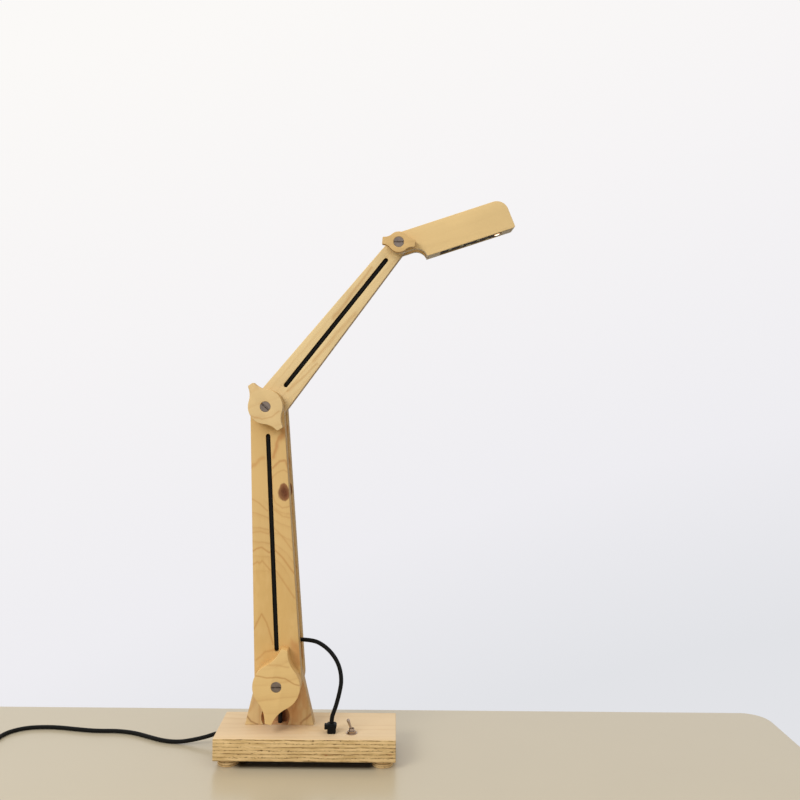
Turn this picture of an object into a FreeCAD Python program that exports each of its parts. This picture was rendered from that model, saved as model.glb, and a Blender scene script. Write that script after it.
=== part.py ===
"""Accordion desk lamp: plywood base, post, two folding arms and an LED head.

Units are millimetres, +Z is up and the front of the lamp looks towards -Y.  The
boards are stacked like a folded ruler: the post, the upper arm and the core of the
head share the middle layer, the lower arm is a pair of boards outside it, and the
head has a thin plate on each side.  Wooden knobs clamp the three pivots.
"""
import FreeCAD, Part
import math
import os

import Sketcher

V = FreeCAD.Vector
doc = FreeCAD.newDocument("AccordionDeskLamp")
sheet = doc.addObject("Spreadsheet::Sheet", "Sizes")

# name: (value, what it is); lengths in mm, angles in degrees
SIZES = {
    # base block, feet and the hollow under the base
    "base_offset": (-62.8, "x of the base's middle in the part's frame"),
    "base_length": (194, "base, left to right"),
    "base_width": (78, "base, front to back"),
    "base_height": (24, "thickness of the base block"),
    "foot_diameter": (22.5, "wooden foot disc"),
    "foot_height": (8, "thickness of a foot disc"),
    "foot_side_inset": (14, "foot centre from the base's end"),
    "foot_front_inset": (15, "foot centre from the base's front or back"),
    "cavity_end_wall": (33, "wood between the hollow and the base's right end"),
    "cavity_side_wall": (9, "wood before and behind the hollow"),
    "cavity_length": (52, "hollow, left to right"),
    "cavity_roof": (6.5, "wood left above the hollow"),
    "cover_thickness": (3, "bottom cover panel"),
    "cover_lip": (6, "seat of the cover around the hollow"),
    "cover_fit": (0.2, "gap round the cover"),
    "cover_screw_radius": (2.6, "head of a cover screw"),
    "cover_screw_shank": (1.4, "shank of a cover screw"),
    "cover_screw_length": (9, "cover screw under its head"),
    "cover_screw_head": (1.4, "height of a cover screw's head"),
    # layers of boards and their clearances
    "board": (15, "middle layer: post, upper arm and head core"),
    "arm_plate": (14, "each board of the lower arm"),
    "head_plate": (6.5, "each side plate of the head"),
    "layer_gap": (0.25, "gap between neighbouring boards"),
    # pivots
    "pivot_x": (-31.5, "lower pivot from the base's middle"),
    "pivot_height": (51.5, "lower pivot above the base's top"),
    "lower_length": (300, "lower pivot to elbow"),
    "lower_angle": (92.8, "lower arm from level"),
    "upper_length": (229, "elbow to head pivot"),
    "upper_angle": (51.8, "upper arm from level"),
    "head_angle": (18.6, "head from level"),
    "bolt_radius": (3, "pivot bolt"),
    "bolt_fit": (0.1, "running gap round a pivot bolt"),
    # post
    "post_radius": (25, "rounded top of the post"),
    "post_foot": (38, "half width of the post where it meets the base"),
    "arch_radius": (15.5, "round hole at the foot of the post"),
    "arch_shift": (-4.4, "hole's centre from the post's middle"),
    "arch_rise": (8.5, "hole's centre above the base's top"),
    "arch_depth": (12, "depth of that hole, which leaves a thin back"),
    "draw_bolt_radius": (2.4, "bolt that pulls the post down"),
    "draw_bolt_fit": (0.1, "gap round that bolt"),
    "draw_bolt_reach": (34, "bolt's tip above the base's top"),
    "draw_bolt_sink": (6.5, "counterbore under the base"),
    "draw_head_radius": (4.25, "head of that bolt"),
    "draw_head_height": (4.6, "head of that bolt"),
    "draw_washer_radius": (5.5, "washer under that head"),
    "draw_washer_thickness": (1.2, "washer under that head"),
    # lower arm
    "lower_bottom_radius": (25.5, "lower arm's round end at the post"),
    "lower_top_radius": (18, "lower arm's round end at the elbow"),
    "lower_groove_start": (36, "groove's low end above the lower pivot"),
    "lower_groove_stop": (32, "groove's high end below the elbow"),
    # upper arm
    "upper_bottom_radius": (18.3, "upper arm's round end at the elbow"),
    "upper_top_radius": (10.4, "upper arm's round end at the head"),
    "upper_groove_start": (30, "groove's low end from the elbow"),
    "upper_groove_stop": (22.5, "groove's high end before the head pivot"),
    # cable and its grooves
    "cable_radius": (2.3, "round black low-voltage cable"),
    "groove_fit": (0.15, "gap beside the cable in a groove"),
    "groove_depth": (5.2, "depth of a groove"),
    "groove_floor_gap": (0.1, "gap between the cable and the groove's floor"),
    # head
    "neck_radius": (11.2, "head's round end and its top edge above the pivot"),
    "head_drop": (23, "bottom edge of the head under the pivot"),
    "head_reach": (127.1, "tip of the head from the pivot, at the bottom edge"),
    "tip_slant": (2.2, "tip leans back from the bottom to the top edge"),
    "tip_radius": (13.5, "upper corner of the tip"),
    "tip_low_radius": (2, "lower corner of the tip"),
    "notch_start": (13.2, "where the hollow curve behind the neck begins"),
    "notch_radius": (12.5, "hollow curve behind the neck"),
    "window_start": (41, "light window from the pivot"),
    "window_length": (71, "light window"),
    "rail_height": (7, "wooden rail above the light window"),
    "slot_rebate": (4, "recess in each side plate beside the light"),
    "sink_recess": (1.9, "black bar above the head's bottom edge"),
    "sink_height": (12, "black metal bar that carries the light"),
    "sink_side_gap": (0.5, "gap between that bar and the wood beside it"),
    "led_thickness": (1.2, "circuit board of the light"),
    "led_end_gap": (0.7, "circuit board from each end of the window"),
    "led_side_gap": (0.9, "circuit board from the wood beside it"),
    "lens_place": (107.6, "lens from the pivot"),
    "lens_radius": (3.2, "lens"),
    "lens_height": (1, "lens"),
    "inlet_along": (46, "cable's way into the head, from the pivot"),
    "inlet_up": (-2, "cable's way into the head, above the pivot"),
    # knobs
    "knob_gap": (0.25, "gap behind each knob"),
    "lower_knob_radius": (25.6, "disc of the lower knob"),
    "lower_knob_reach": (40.8, "wing tip from its centre"),
    "lower_knob_tip": (7.5, "width of a wing tip"),
    "lower_knob_flank": (32, "hollow side of a wing"),
    "lower_knob_depth": (15, "thickness of the lower knob"),
    "lower_knob_angle": (78.1, "wings of the lower knob from level"),
    "elbow_knob_radius": (18.7, "disc of the elbow knob"),
    "elbow_knob_reach": (28.9, "wing tip from its centre"),
    "elbow_knob_tip": (7.1, "width of a wing tip"),
    "elbow_knob_flank": (22, "hollow side of a wing"),
    "elbow_knob_depth": (12, "thickness of the elbow knob"),
    "elbow_knob_angle": (124, "wings of the elbow knob from level"),
    "head_knob_radius": (11.3, "disc of the head knob"),
    "head_knob_reach": (17.9, "wing tip from its centre"),
    "head_knob_tip": (8, "width of a wing tip"),
    "head_knob_flank": (12, "hollow side of a wing"),
    "head_knob_depth": (9, "thickness of the head knob"),
    "head_knob_angle": (-5, "wings of the head knob from level"),
    # pivot screws, nuts and washers
    "screw_head_radius": (5.7, "countersunk head"),
    "screw_head_depth": (3.2, "countersunk head"),
    "screw_seat_fit": (0.08, "gap round a countersunk head"),
    "slot_width": (1.3, "screwdriver slot"),
    "slot_depth": (1.5, "screwdriver slot"),
    "lower_slot_angle": (2, "slot of the lower screw from level"),
    "elbow_slot_angle": (-41, "slot of the elbow screw from level"),
    "head_slot_angle": (0, "slot of the head screw from level"),
    "washer_radius": (6, "washer behind a pivot"),
    "washer_thickness": (1.2, "washer behind a pivot"),
    "nut_across": (10, "pivot nut across its flats"),
    "nut_thickness": (5, "pivot nut"),
    "screw_tail": (1.5, "screw past its nut"),
    # cable clamp on the base
    "clamp_start": (15.6, "clamp's middle from the hollow's left wall"),
    "clamp_inset": (19, "clamp's middle behind the base's front"),
    "clamp_side": (9, "clamp block, left to right and front to back"),
    "clamp_height": (10.5, "clamp block"),
    "clamp_bore_fit": (0.06, "gap round the cable in the clamp"),
    "tie_thickness": (0.8, "cable tie band"),
    "tie_width": (3.5, "cable tie band"),
    "tie_height": (6, "band's lower edge above the base's top"),
    "tie_head_length": (3.2, "lock of the cable tie"),
    "tie_head_width": (5, "lock of the cable tie"),
    "tie_head_height": (5.3, "lock of the cable tie"),
    # switch
    "switch_start": (37.3, "switch from the hollow's left wall"),
    "switch_inset": (18, "switch behind the base's front"),
    "switch_length": (13, "switch body, left to right"),
    "switch_depth": (8, "switch body, front to back"),
    "switch_height": (9, "switch body"),
    "terminal_pin": (3.4, "soldering tags under the switch"),
    "bushing_radius": (3, "threaded neck of the switch"),
    "bushing_rise": (5.5, "threaded neck above the base's top"),
    "bushing_fit": (0.1, "gap round the threaded neck"),
    "switch_washer_radius": (6, "washer of the switch"),
    "switch_washer_thickness": (0.8, "washer of the switch"),
    "switch_nut_across": (8, "switch nut across its flats"),
    "switch_nut_thickness": (2, "switch nut"),
    "lever_pivot": (2.9, "lever's pivot above the base's top"),
    "lever_ball_radius": (1.5, "ball at the foot of the lever"),
    "lever_radius": (1.3, "lever at its foot"),
    "lever_tip_radius": (1.8, "lever at its tip"),
    "lever_length": (13.3, "pivot to tip of the lever"),
    "lever_angle": (19, "lever's lean to the left"),
    # wiring under the base
    "terminal_length": (22, "terminal block, left to right"),
    "terminal_width": (12, "terminal block, front to back"),
    "terminal_start": (4, "terminal block from the hollow's left wall"),
    "terminal_clearance": (0.7, "terminal block above the cover"),
    "lead_inset": (6, "supply lead before the hollow's rear wall"),
    "terminal_inset": (1, "terminal block before the hollow's rear wall"),
    "lead_height": (5.5, "supply lead above the base's underside"),
    "bore_fit": (0.2, "gap round a cable in the base"),
    "inner_height": (10.5, "inner cable above the base's underside"),
    "inner_bend": (6, "bend of the inner cable"),
    # supply lead's coil and plug
    "coil_reach": (298, "coil's middle to the left of the base's end"),
    "coil_shift": (9, "coil's middle before the lead's outlet"),
    "coil_inner": (17, "radius of the innermost turn"),
    "coil_turns": (4, "turns in a layer"),
    "coil_gap": (0.43, "gap between neighbouring turns and layers"),
    "plug_radius": (5.5, "plug's grip"),
    "plug_length": (25, "plug's grip"),
    "relief_radius": (2.6, "thin end of the plug's strain relief"),
    "relief_wide_radius": (4, "wide end of the plug's strain relief"),
    "relief_length": (14, "plug's strain relief"),
    "barrel_radius": (2.75, "barrel of the plug"),
    "barrel_bore": (1.05, "hole in the barrel"),
    "barrel_length": (9.5, "barrel of the plug"),
}

for row, (name, (value, note)) in enumerate(SIZES.items(), start=1):
    sheet.set(f"A{row}", name)
    sheet.set(f"B{row}", str(value))
    sheet.setAlias(f"B{row}", name)
    sheet.set(f"C{row}", note)
doc.recompute()


class Dim:
    """A length or angle that keeps both its number and its spreadsheet expression."""

    def __init__(self, value, text):
        self.value = float(value)
        self.text = text

    @staticmethod
    def of(other):
        if isinstance(other, Dim):
            return other
        return Dim(other, f"({other})")

    def __add__(self, other):
        other = Dim.of(other)
        return Dim(self.value + other.value, f"({self.text} + {other.text})")

    def __sub__(self, other):
        other = Dim.of(other)
        return Dim(self.value - other.value, f"({self.text} - {other.text})")

    def __mul__(self, other):
        other = Dim.of(other)
        return Dim(self.value * other.value, f"({self.text} * {other.text})")

    def __truediv__(self, other):
        other = Dim.of(other)
        return Dim(self.value / other.value, f"({self.text} / {other.text})")

    def __radd__(self, other):
        return Dim.of(other) + self

    def __rsub__(self, other):
        return Dim.of(other) - self

    def __rmul__(self, other):
        return Dim.of(other) * self

    def __neg__(self):
        return Dim(-self.value, f"(0 - {self.text})")


def size(name):
    """The named size as a Dim bound to its cell."""
    return Dim(sheet.get(name), f"Sizes.{name}")


def root(dim):
    """Square root."""
    return Dim(math.sqrt(dim.value), f"sqrt({dim.text})")


def cosd(dim):
    """Cosine of an angle in degrees."""
    dim = Dim.of(dim)
    return Dim(math.cos(math.radians(dim.value)), f"cos({dim.text} * 1 deg)")


def sind(dim):
    """Sine of an angle in degrees."""
    dim = Dim.of(dim)
    return Dim(math.sin(math.radians(dim.value)), f"sin({dim.text} * 1 deg)")


ZERO = Dim(0, "0")


# --- placing and drawing helpers ---------------------------------------------------

def place(obj, x, y, z, axis=None, angle=None):
    """Bind an object's position, and its turn about the given axis."""
    x, y, z = Dim.of(x), Dim.of(y), Dim.of(z)
    turn = FreeCAD.Rotation()
    if axis is not None:
        angle = Dim.of(angle)
        turn = FreeCAD.Rotation(axis, angle.value)
    obj.Placement = FreeCAD.Placement(V(x.value, y.value, z.value), turn)
    obj.setExpression("Placement.Base.x", x.text)
    obj.setExpression("Placement.Base.y", y.text)
    obj.setExpression("Placement.Base.z", z.text)
    if axis is not None and abs(angle.value) > 1e-9:
        obj.setExpression("Placement.Rotation.Angle", f"{angle.text} * 1 deg")
    return obj


FACING = V(0, -1, 0)      # a turn about this axis is counter-clockwise from the front


class Outline:
    """A closed run of lines and arcs in a board's own plane."""

    def __init__(self, x, z):
        self.points = [(Dim.of(x), Dim.of(z))]
        self.sides = []

    def line(self, x, z):
        """Go straight to a point."""
        self.sides.append(None)
        self.points.append((Dim.of(x), Dim.of(z)))
        return self

    def arc(self, x, z, radius, left=True, large=False):
        """Go to a point on an arc that turns left (or right) as it is walked."""
        self.sides.append((Dim.of(radius), left, large, None))
        self.points.append((Dim.of(x), Dim.of(z)))
        return self

    def half_round(self, x, z, radius, held, middle):
        """Go to a point on a half circle; one coordinate of its middle is held."""
        self.sides.append((Dim.of(radius), True, False, (held, Dim.of(middle))))
        self.points.append((Dim.of(x), Dim.of(z)))
        return self

    def close(self):
        """Go straight back to the first point."""
        self.sides.append(None)
        return self

    def closed_by_arc(self, radius, left=True, large=False):
        """Go back to the first point on an arc."""
        self.sides.append((Dim.of(radius), left, large, None))
        return self


def arc_centre(p, q, radius, left, large):
    """Centre of the arc from p to q."""
    chord = q - p
    half = chord.Length / 2
    rise = math.sqrt(max(radius * radius - half * half, 0))
    side = V(-chord.y, chord.x, 0).normalize()
    if left == large:
        side = side * -1
    return (p + q) * 0.5 + side * rise


def bind_constraint(sketch, what, dim):
    """Add a dimension to a sketch and bind it to the spreadsheet."""
    number = sketch.addConstraint(Sketcher.Constraint(*what, dim.value))
    sketch.setExpression(f"Constraints[{number}]", dim.text)


def fix_point(sketch, shape_id, end, x, z):
    """Bind one point of the sketch to the spreadsheet."""
    for kind, dim in (("DistanceX", x), ("DistanceY", z)):
        bind_constraint(sketch, (kind, -1, 1, shape_id, end), dim)


def draw_outline(sketch, outline):
    """Draw an outline whose corners and radii follow the spreadsheet."""
    points = [V(x.value, z.value, 0) for x, z in outline.points[:len(outline.sides)]]
    drawn = []
    for number, side in enumerate(outline.sides):
        p = points[number]
        q = points[(number + 1) % len(points)]
        if side is None:
            shape_id = sketch.addGeometry(Part.LineSegment(p, q), False)
            drawn.append((shape_id, 1, 2))
            continue
        radius, left, large, middle = side
        centre = arc_centre(p, q, radius.value, left, large)
        circle = Part.Circle(centre, V(0, 0, 1), radius.value)
        start = math.atan2(p.y - centre.y, p.x - centre.x)
        stop = math.atan2(q.y - centre.y, q.x - centre.x)
        if left:
            shape_id = sketch.addGeometry(Part.ArcOfCircle(circle, start, stop), False)
            drawn.append((shape_id, 1, 2))
        else:
            shape_id = sketch.addGeometry(Part.ArcOfCircle(circle, stop, start), False)
            drawn.append((shape_id, 2, 1))
        if middle is None:
            bind_constraint(sketch, ("Radius", shape_id), radius)
        else:
            bind_constraint(sketch, (middle[0], -1, 1, shape_id, 3), middle[1])
    for number, (shape_id, first, _) in enumerate(drawn):
        before, _, last = drawn[number - 1]
        sketch.addConstraint(Sketcher.Constraint("Coincident", before, last, shape_id, first))
        fix_point(sketch, shape_id, first, *outline.points[number])


def draw_circle(sketch, x, z, radius):
    """Draw a circle whose centre and radius follow the spreadsheet."""
    x, z, radius = Dim.of(x), Dim.of(z), Dim.of(radius)
    shape = Part.Circle(V(x.value, z.value, 0), V(0, 0, 1), radius.value)
    shape_id = sketch.addGeometry(shape, False)
    bind_constraint(sketch, ("Radius", shape_id), radius)
    fix_point(sketch, shape_id, 3, x, z)


def front_sketch(body, name, forward=None):
    """A sketch in the body's XZ plane, or that far in front of it."""
    sketch = body.newObject("Sketcher::SketchObject", name)
    plane = [item for item in body.Origin.OriginFeatures if item.Role == "XZ_Plane"][0]
    sketch.AttachmentSupport = [(plane, "")]
    sketch.MapMode = "FlatFace"
    if forward is not None:
        sketch.AttachmentOffset = FreeCAD.Placement(V(0, 0, forward.value), FreeCAD.Rotation())
        sketch.setExpression("AttachmentOffset.Base.z", forward.text)
    return sketch


def board(label, outline, holes, thickness, groove=None):
    """A flat board, drawn from the front: it grows from its XZ plane towards -Y."""
    body = doc.addObject("PartDesign::Body", label)
    sketch = front_sketch(body, f"{label}_outline")
    draw_outline(sketch, outline)
    for x, z, radius in holes:
        draw_circle(sketch, x, z, radius)
    pad = body.newObject("PartDesign::Pad", f"{label}_pad")
    pad.Profile = sketch
    pad.Length = thickness.value
    pad.setExpression("Length", thickness.text)
    sketch.Visibility = False
    if groove is not None:
        doc.recompute()
        solid_volume = body.Shape.Volume
        start, end, half, depth = groove
        channel = front_sketch(body, f"{label}_groove_outline", forward=thickness)
        slot = Outline(half, start).line(half, end)
        slot.half_round(-half, end, half, "DistanceY", end)
        slot.line(-half, start).half_round(half, start, half, "DistanceY", start)
        draw_outline(channel, slot)
        pocket = body.newObject("PartDesign::Pocket", f"{label}_groove")
        pocket.Profile = channel
        pocket.Length = depth.value
        pocket.setExpression("Length", depth.text)
        body.Tip = pocket
        doc.recompute()
        if not body.Shape.Volume < solid_volume - 1:
            raise ValueError(f"{label}: the groove cuts nothing")
    return body


def tapered_outline(low_radius, high_radius, length):
    """Two round ends joined by tangent sides; the low end is at the origin."""
    lean = (low_radius - high_radius) / length
    across = root(1 - lean * lean)
    outline = Outline(low_radius * across, low_radius * lean)
    outline.line(high_radius * across, length + high_radius * lean)
    outline.arc(-(high_radius * across), length + high_radius * lean, high_radius)
    outline.line(-(low_radius * across), low_radius * lean)
    return outline.closed_by_arc(low_radius, large=low_radius.value > high_radius.value)


def knob_outline(radius, reach, tip, flank):
    """A disc with two opposite wings along X, each with hollow flanks and a flat tip."""
    half = tip / 2
    far = root(reach * reach + half * half)
    span = radius + flank
    cosine = (far * far + span * span - flank * flank) / (2 * far * span)
    sine = root(1 - cosine * cosine)
    x = radius * (reach / far * cosine - half / far * sine)
    z = radius * (half / far * cosine + reach / far * sine)
    outline = Outline(reach, -half).line(reach, half)
    outline.arc(x, z, flank, left=False)
    outline.arc(-x, z, radius)
    outline.arc(-reach, half, flank, left=False)
    outline.line(-reach, -half)
    outline.arc(-x, -z, flank, left=False)
    outline.arc(x, -z, radius)
    return outline.closed_by_arc(flank, left=False)


def corner(before, point, after, radius):
    """The two points where a rounded corner leaves its sides."""
    ends = []
    rays = []
    for x, z in (before, after):
        dx = x - point[0]
        dz = z - point[1]
        long = root(dx * dx + dz * dz)
        rays.append((dx / long, dz / long))
    cosine = rays[0][0] * rays[1][0] + rays[0][1] * rays[1][1]
    reach = radius * root((1 + cosine) / (1 - cosine))
    for ux, uz in rays:
        ends.append((point[0] + ux * reach, point[1] + uz * reach))
    return ends


def box(label, corner_point, sides, axis=None, angle=None):
    """A bound Part::Box."""
    obj = doc.addObject("Part::Box", label)
    for prop, side in zip(("Length", "Width", "Height"), sides):
        side = Dim.of(side)
        setattr(obj, prop, side.value)
        obj.setExpression(prop, side.text)
    return place(obj, *corner_point, axis=axis, angle=angle)


def cylinder(label, radius, height, foot, axis=None, angle=None):
    """A bound Part::Cylinder, standing on the given point."""
    obj = doc.addObject("Part::Cylinder", label)
    radius, height = Dim.of(radius), Dim.of(height)
    obj.Radius = radius.value
    obj.setExpression("Radius", radius.text)
    obj.Height = height.value
    obj.setExpression("Height", height.text)
    return place(obj, *foot, axis=axis, angle=angle)


def cone(label, low_radius, high_radius, height, foot, axis=None, angle=None):
    """A bound Part::Cone, standing on the given point."""
    obj = doc.addObject("Part::Cone", label)
    for prop, dim in (("Radius1", low_radius), ("Radius2", high_radius), ("Height", height)):
        dim = Dim.of(dim)
        setattr(obj, prop, dim.value)
        obj.setExpression(prop, dim.text)
    return place(obj, *foot, axis=axis, angle=angle)


def prism(label, across_flats, height, foot, axis=None, angle=None):
    """A bound hexagonal Part::Prism, given its size across the flats."""
    obj = doc.addObject("Part::Prism", label)
    obj.Polygon = 6
    circumradius = across_flats / Dim(math.sqrt(3), "sqrt(3)")
    obj.Circumradius = circumradius.value
    obj.setExpression("Circumradius", circumradius.text)
    obj.Height = height.value
    obj.setExpression("Height", height.text)
    return place(obj, *foot, axis=axis, angle=angle)


def fuse(label, pieces):
    """One solid out of several that overlap."""
    obj = doc.addObject("Part::MultiFuse", label)
    obj.Shapes = pieces
    return obj


def cut(label, base, tools):
    """A base with one or more tools taken out of it."""
    tool = tools[0]
    if len(tools) > 1:
        tool = fuse(f"{label}_tools", tools)
    obj = doc.addObject("Part::Cut", label)
    obj.Base = base
    obj.Tool = tool
    return obj


BACKWARD = {"axis": V(1, 0, 0), "angle": -90}     # turns +Z towards +Y

nodes = []        # (node name, object), in the order they are written


def keep(name, obj):
    """Name a finished sub-part and list it for writing."""
    obj.Label = name
    nodes.append((name, obj))
    return obj


def spot(origin, angle, along, across=ZERO):
    """A point of a turned board: along its length and to the left of it."""
    along, across = Dim.of(along), Dim.of(across)
    x = origin[0] + along * cosd(angle) - across * sind(angle)
    z = origin[1] + along * sind(angle) + across * cosd(angle)
    return x, z


# --- places shared by several pieces -----------------------------------------------

base_x = size("base_offset")
base_bottom = size("foot_height")
base_top = base_bottom + size("base_height")
lower_pivot = (base_x + size("pivot_x"), base_top + size("pivot_height"))
elbow = spot(lower_pivot, size("lower_angle"), size("lower_length"))
head_pivot = spot(elbow, size("upper_angle"), size("upper_length"))

gap = size("layer_gap")
middle_back = size("board")                       # the middle layer is y 0 .. board
front_plate_back = -gap
rear_plate_front = middle_back + gap
lower_front_face = front_plate_back - size("arm_plate")
lower_rear_face = rear_plate_front + size("arm_plate")
head_front_face = front_plate_back - size("head_plate")
head_rear_face = rear_plate_front + size("head_plate")

bore = size("bolt_radius") + size("bolt_fit")
groove_half = size("cable_radius") + size("groove_fit")
cable_in_lower = lower_front_face + size("groove_depth") - size("groove_floor_gap") \
    - size("cable_radius")
cable_in_upper = size("groove_depth") - size("groove_floor_gap") - size("cable_radius")

# --- base block --------------------------------------------------------------------

half_base = size("base_length") / 2
half_width = size("base_width") / 2
cavity_x = base_x + half_base - size("cavity_end_wall") - size("cavity_length")
cavity_depth = size("base_height") - size("cavity_roof")
cavity_top = base_bottom + cavity_depth
half_cavity = half_width - size("cavity_side_wall")
lip = size("cover_lip")
lead_y = half_cavity - size("lead_inset")
lead_z = base_bottom + size("lead_height")
cable_hole = size("cable_radius") + size("bore_fit")
clamp_x = cavity_x + size("clamp_start")
clamp_y = size("clamp_inset") - half_width
switch_x = cavity_x + size("switch_start")
switch_y = size("switch_inset") - half_width
post_y = size("board") / 2
draw_bore = size("draw_bolt_radius") + size("draw_bolt_fit")
seat_depth = size("cover_thickness") + size("cover_fit")
seat_grow = lip + size("cover_fit")

block = box("base_blank", (base_x - half_base, -half_width, base_bottom),
            (size("base_length"), size("base_width"), size("base_height")))
base_tools = [
    box("base_cavity", (cavity_x, -half_cavity, base_bottom - 1),
        (size("cavity_length"), half_cavity * 2, cavity_depth + 1)),
    box("base_cover_seat", (cavity_x - seat_grow, -half_cavity - seat_grow, base_bottom - 1),
        (size("cavity_length") + 2 * seat_grow, 2 * (half_cavity + seat_grow),
         seat_depth + 1)),
    cylinder("base_lead_bore", cable_hole, cavity_x - base_x + half_base + 2,
             (base_x - half_base - 1, lead_y, lead_z), axis=V(0, 1, 0), angle=90),
    cylinder("base_cable_bore", cable_hole, size("cavity_roof") + 2,
             (clamp_x, clamp_y, cavity_top - 1)),
    cylinder("base_switch_bore", size("bushing_radius") + size("bushing_fit"),
             size("cavity_roof") + 2, (switch_x, switch_y, cavity_top - 1)),
    cylinder("base_bolt_bore", draw_bore, size("base_height") + 2,
             (lower_pivot[0], post_y, base_bottom - 1)),
    cylinder("base_bolt_sink", size("draw_washer_radius") + size("draw_bolt_fit"),
             size("draw_bolt_sink") + 1, (lower_pivot[0], post_y, base_bottom - 1)),
]
screw_half_x = size("cavity_length") / 2 + lip / 2
screw_half_y = half_cavity + lip / 2
screw_middle = cavity_x + size("cavity_length") / 2
screw_hole = size("cover_screw_shank") + size("cover_fit") / 4
cover_screw_places = []
for number, (side_x, side_y) in enumerate(((-1, -1), (1, -1), (1, 1), (-1, 1))):
    x = screw_middle + side_x * screw_half_x
    y = side_y * screw_half_y
    cover_screw_places.append((x, y))
    base_tools.append(cylinder(f"base_screw_bore_{number}", screw_hole,
                               size("cover_screw_length") + 2, (x, y, base_bottom)))
keep("base_block", cut("base_cut", block, base_tools))

cover_blank = box("cover_blank", (cavity_x - lip, -half_cavity - lip, base_bottom),
                  (size("cavity_length") + 2 * lip, 2 * (half_cavity + lip),
                   size("cover_thickness")))
cover_tools = []
screws = []
head_seat = size("cover_screw_radius") + size("cover_fit") / 2
for number, (x, y) in enumerate(cover_screw_places):
    cover_tools.append(cylinder(f"cover_bore_{number}", screw_hole,
                                size("cover_thickness") + 2, (x, y, base_bottom - 1)))
    cover_tools.append(cylinder(f"cover_sink_{number}", head_seat,
                                size("cover_screw_head") + 1, (x, y, base_bottom - 1)))
    head = cylinder(f"cover_screw_head_{number}", size("cover_screw_radius"),
                    size("cover_screw_head"), (x, y, base_bottom))
    shank = cylinder(f"cover_screw_shank_{number}", size("cover_screw_shank"),
                     size("cover_screw_length"), (x, y, base_bottom))
    screws.append(fuse(f"cover_screw_{number}", [head, shank]))
keep("base_cover", cut("cover_cut", cover_blank, cover_tools))
cover_screws = doc.addObject("Part::Compound", "cover_screw_set")
cover_screws.Links = screws
keep("cover_screws", cover_screws)

foot_x = half_base - size("foot_side_inset")
foot_y = half_width - size("foot_front_inset")
for name, side_x, side_y in (("front_left", -1, -1), ("front_right", 1, -1),
                             ("rear_left", -1, 1), ("rear_right", 1, 1)):
    keep(f"foot_{name}", cylinder(f"foot_{name}_disc", size("foot_diameter") / 2,
                                  size("foot_height"),
                                  (base_x + side_x * foot_x, side_y * foot_y, 0)))

# --- post --------------------------------------------------------------------------

post_r = size("post_radius")
foot_half = size("post_foot")
drop = size("pivot_height")
slope = root(foot_half * foot_half + drop * drop)
tangent = root(slope * slope - post_r * post_r)
shoulder_x = (foot_half * post_r + drop * tangent) * post_r / (slope * slope)
shoulder_z = (foot_half * tangent - drop * post_r) * post_r / (slope * slope)
post_shape = Outline(foot_half, -drop).line(shoulder_x, shoulder_z)
post_shape.arc(-shoulder_x, shoulder_z, post_r)
post_shape.line(-foot_half, -drop)
post_shape.close()
post_board = board("post_board", post_shape, [(0, 0, bore)], size("board"))
place(post_board, lower_pivot[0], middle_back, lower_pivot[1])
post_hole = cylinder("post_bolt_bore", draw_bore, size("draw_bolt_reach") + 2,
                     (lower_pivot[0], post_y, base_top - 1))
arch = cylinder("post_arch", size("arch_radius"), size("arch_depth") + 1,
                (lower_pivot[0] + size("arch_shift"), -1, base_top + size("arch_rise")),
                **BACKWARD)
keep("pivot_post", cut("post_cut", post_board, [post_hole, arch]))

washer_top = base_bottom + size("draw_bolt_sink")
washer_low = washer_top - size("draw_washer_thickness")
bolt_low = washer_low - size("draw_head_height")
draw_head = cylinder("post_bolt_head", size("draw_head_radius"), size("draw_head_height"),
                     (lower_pivot[0], post_y, bolt_low))
draw_shank = cylinder("post_bolt_shank", size("draw_bolt_radius"),
                      base_top - bolt_low + size("draw_bolt_reach"),
                      (lower_pivot[0], post_y, bolt_low))
keep("post_bolt", fuse("post_bolt_whole", [draw_head, draw_shank]))
draw_ring = cylinder("post_washer_disc", size("draw_washer_radius"),
                     size("draw_washer_thickness"), (lower_pivot[0], post_y, washer_low))
draw_ring_bore = cylinder("post_washer_bore", draw_bore, size("draw_washer_thickness") + 2,
                          (lower_pivot[0], post_y, washer_low - 1))
keep("post_bolt_washer", cut("post_washer_ring", draw_ring, [draw_ring_bore]))

# --- arms --------------------------------------------------------------------------

# a board drawn upright leans by its angle less a right angle
lower_lean = size("lower_angle") - 90
upper_lean = size("upper_angle") - 90
lower_shape = tapered_outline(size("lower_bottom_radius"), size("lower_top_radius"),
                              size("lower_length"))
lower_groove_end = size("lower_length") - size("lower_groove_stop")
low_hole = (0, size("lower_groove_start"), groove_half)
high_hole = (0, lower_groove_end, groove_half)
pivots = [(0, 0, bore), (0, size("lower_length"), bore)]
front_board = board("lower_front_board", lower_shape, pivots + [low_hole, high_hole],
                    size("arm_plate"),
                    groove=(size("lower_groove_start"), lower_groove_end,
                            groove_half, size("groove_depth")))
place(front_board, lower_pivot[0], front_plate_back, lower_pivot[1],
      axis=FACING, angle=lower_lean)
keep("lower_arm_front", front_board)
rear_board = board("lower_rear_board", lower_shape, pivots + [high_hole], size("arm_plate"))
place(rear_board, lower_pivot[0], lower_rear_face, lower_pivot[1],
      axis=FACING, angle=lower_lean)
keep("lower_arm_rear", rear_board)

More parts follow.
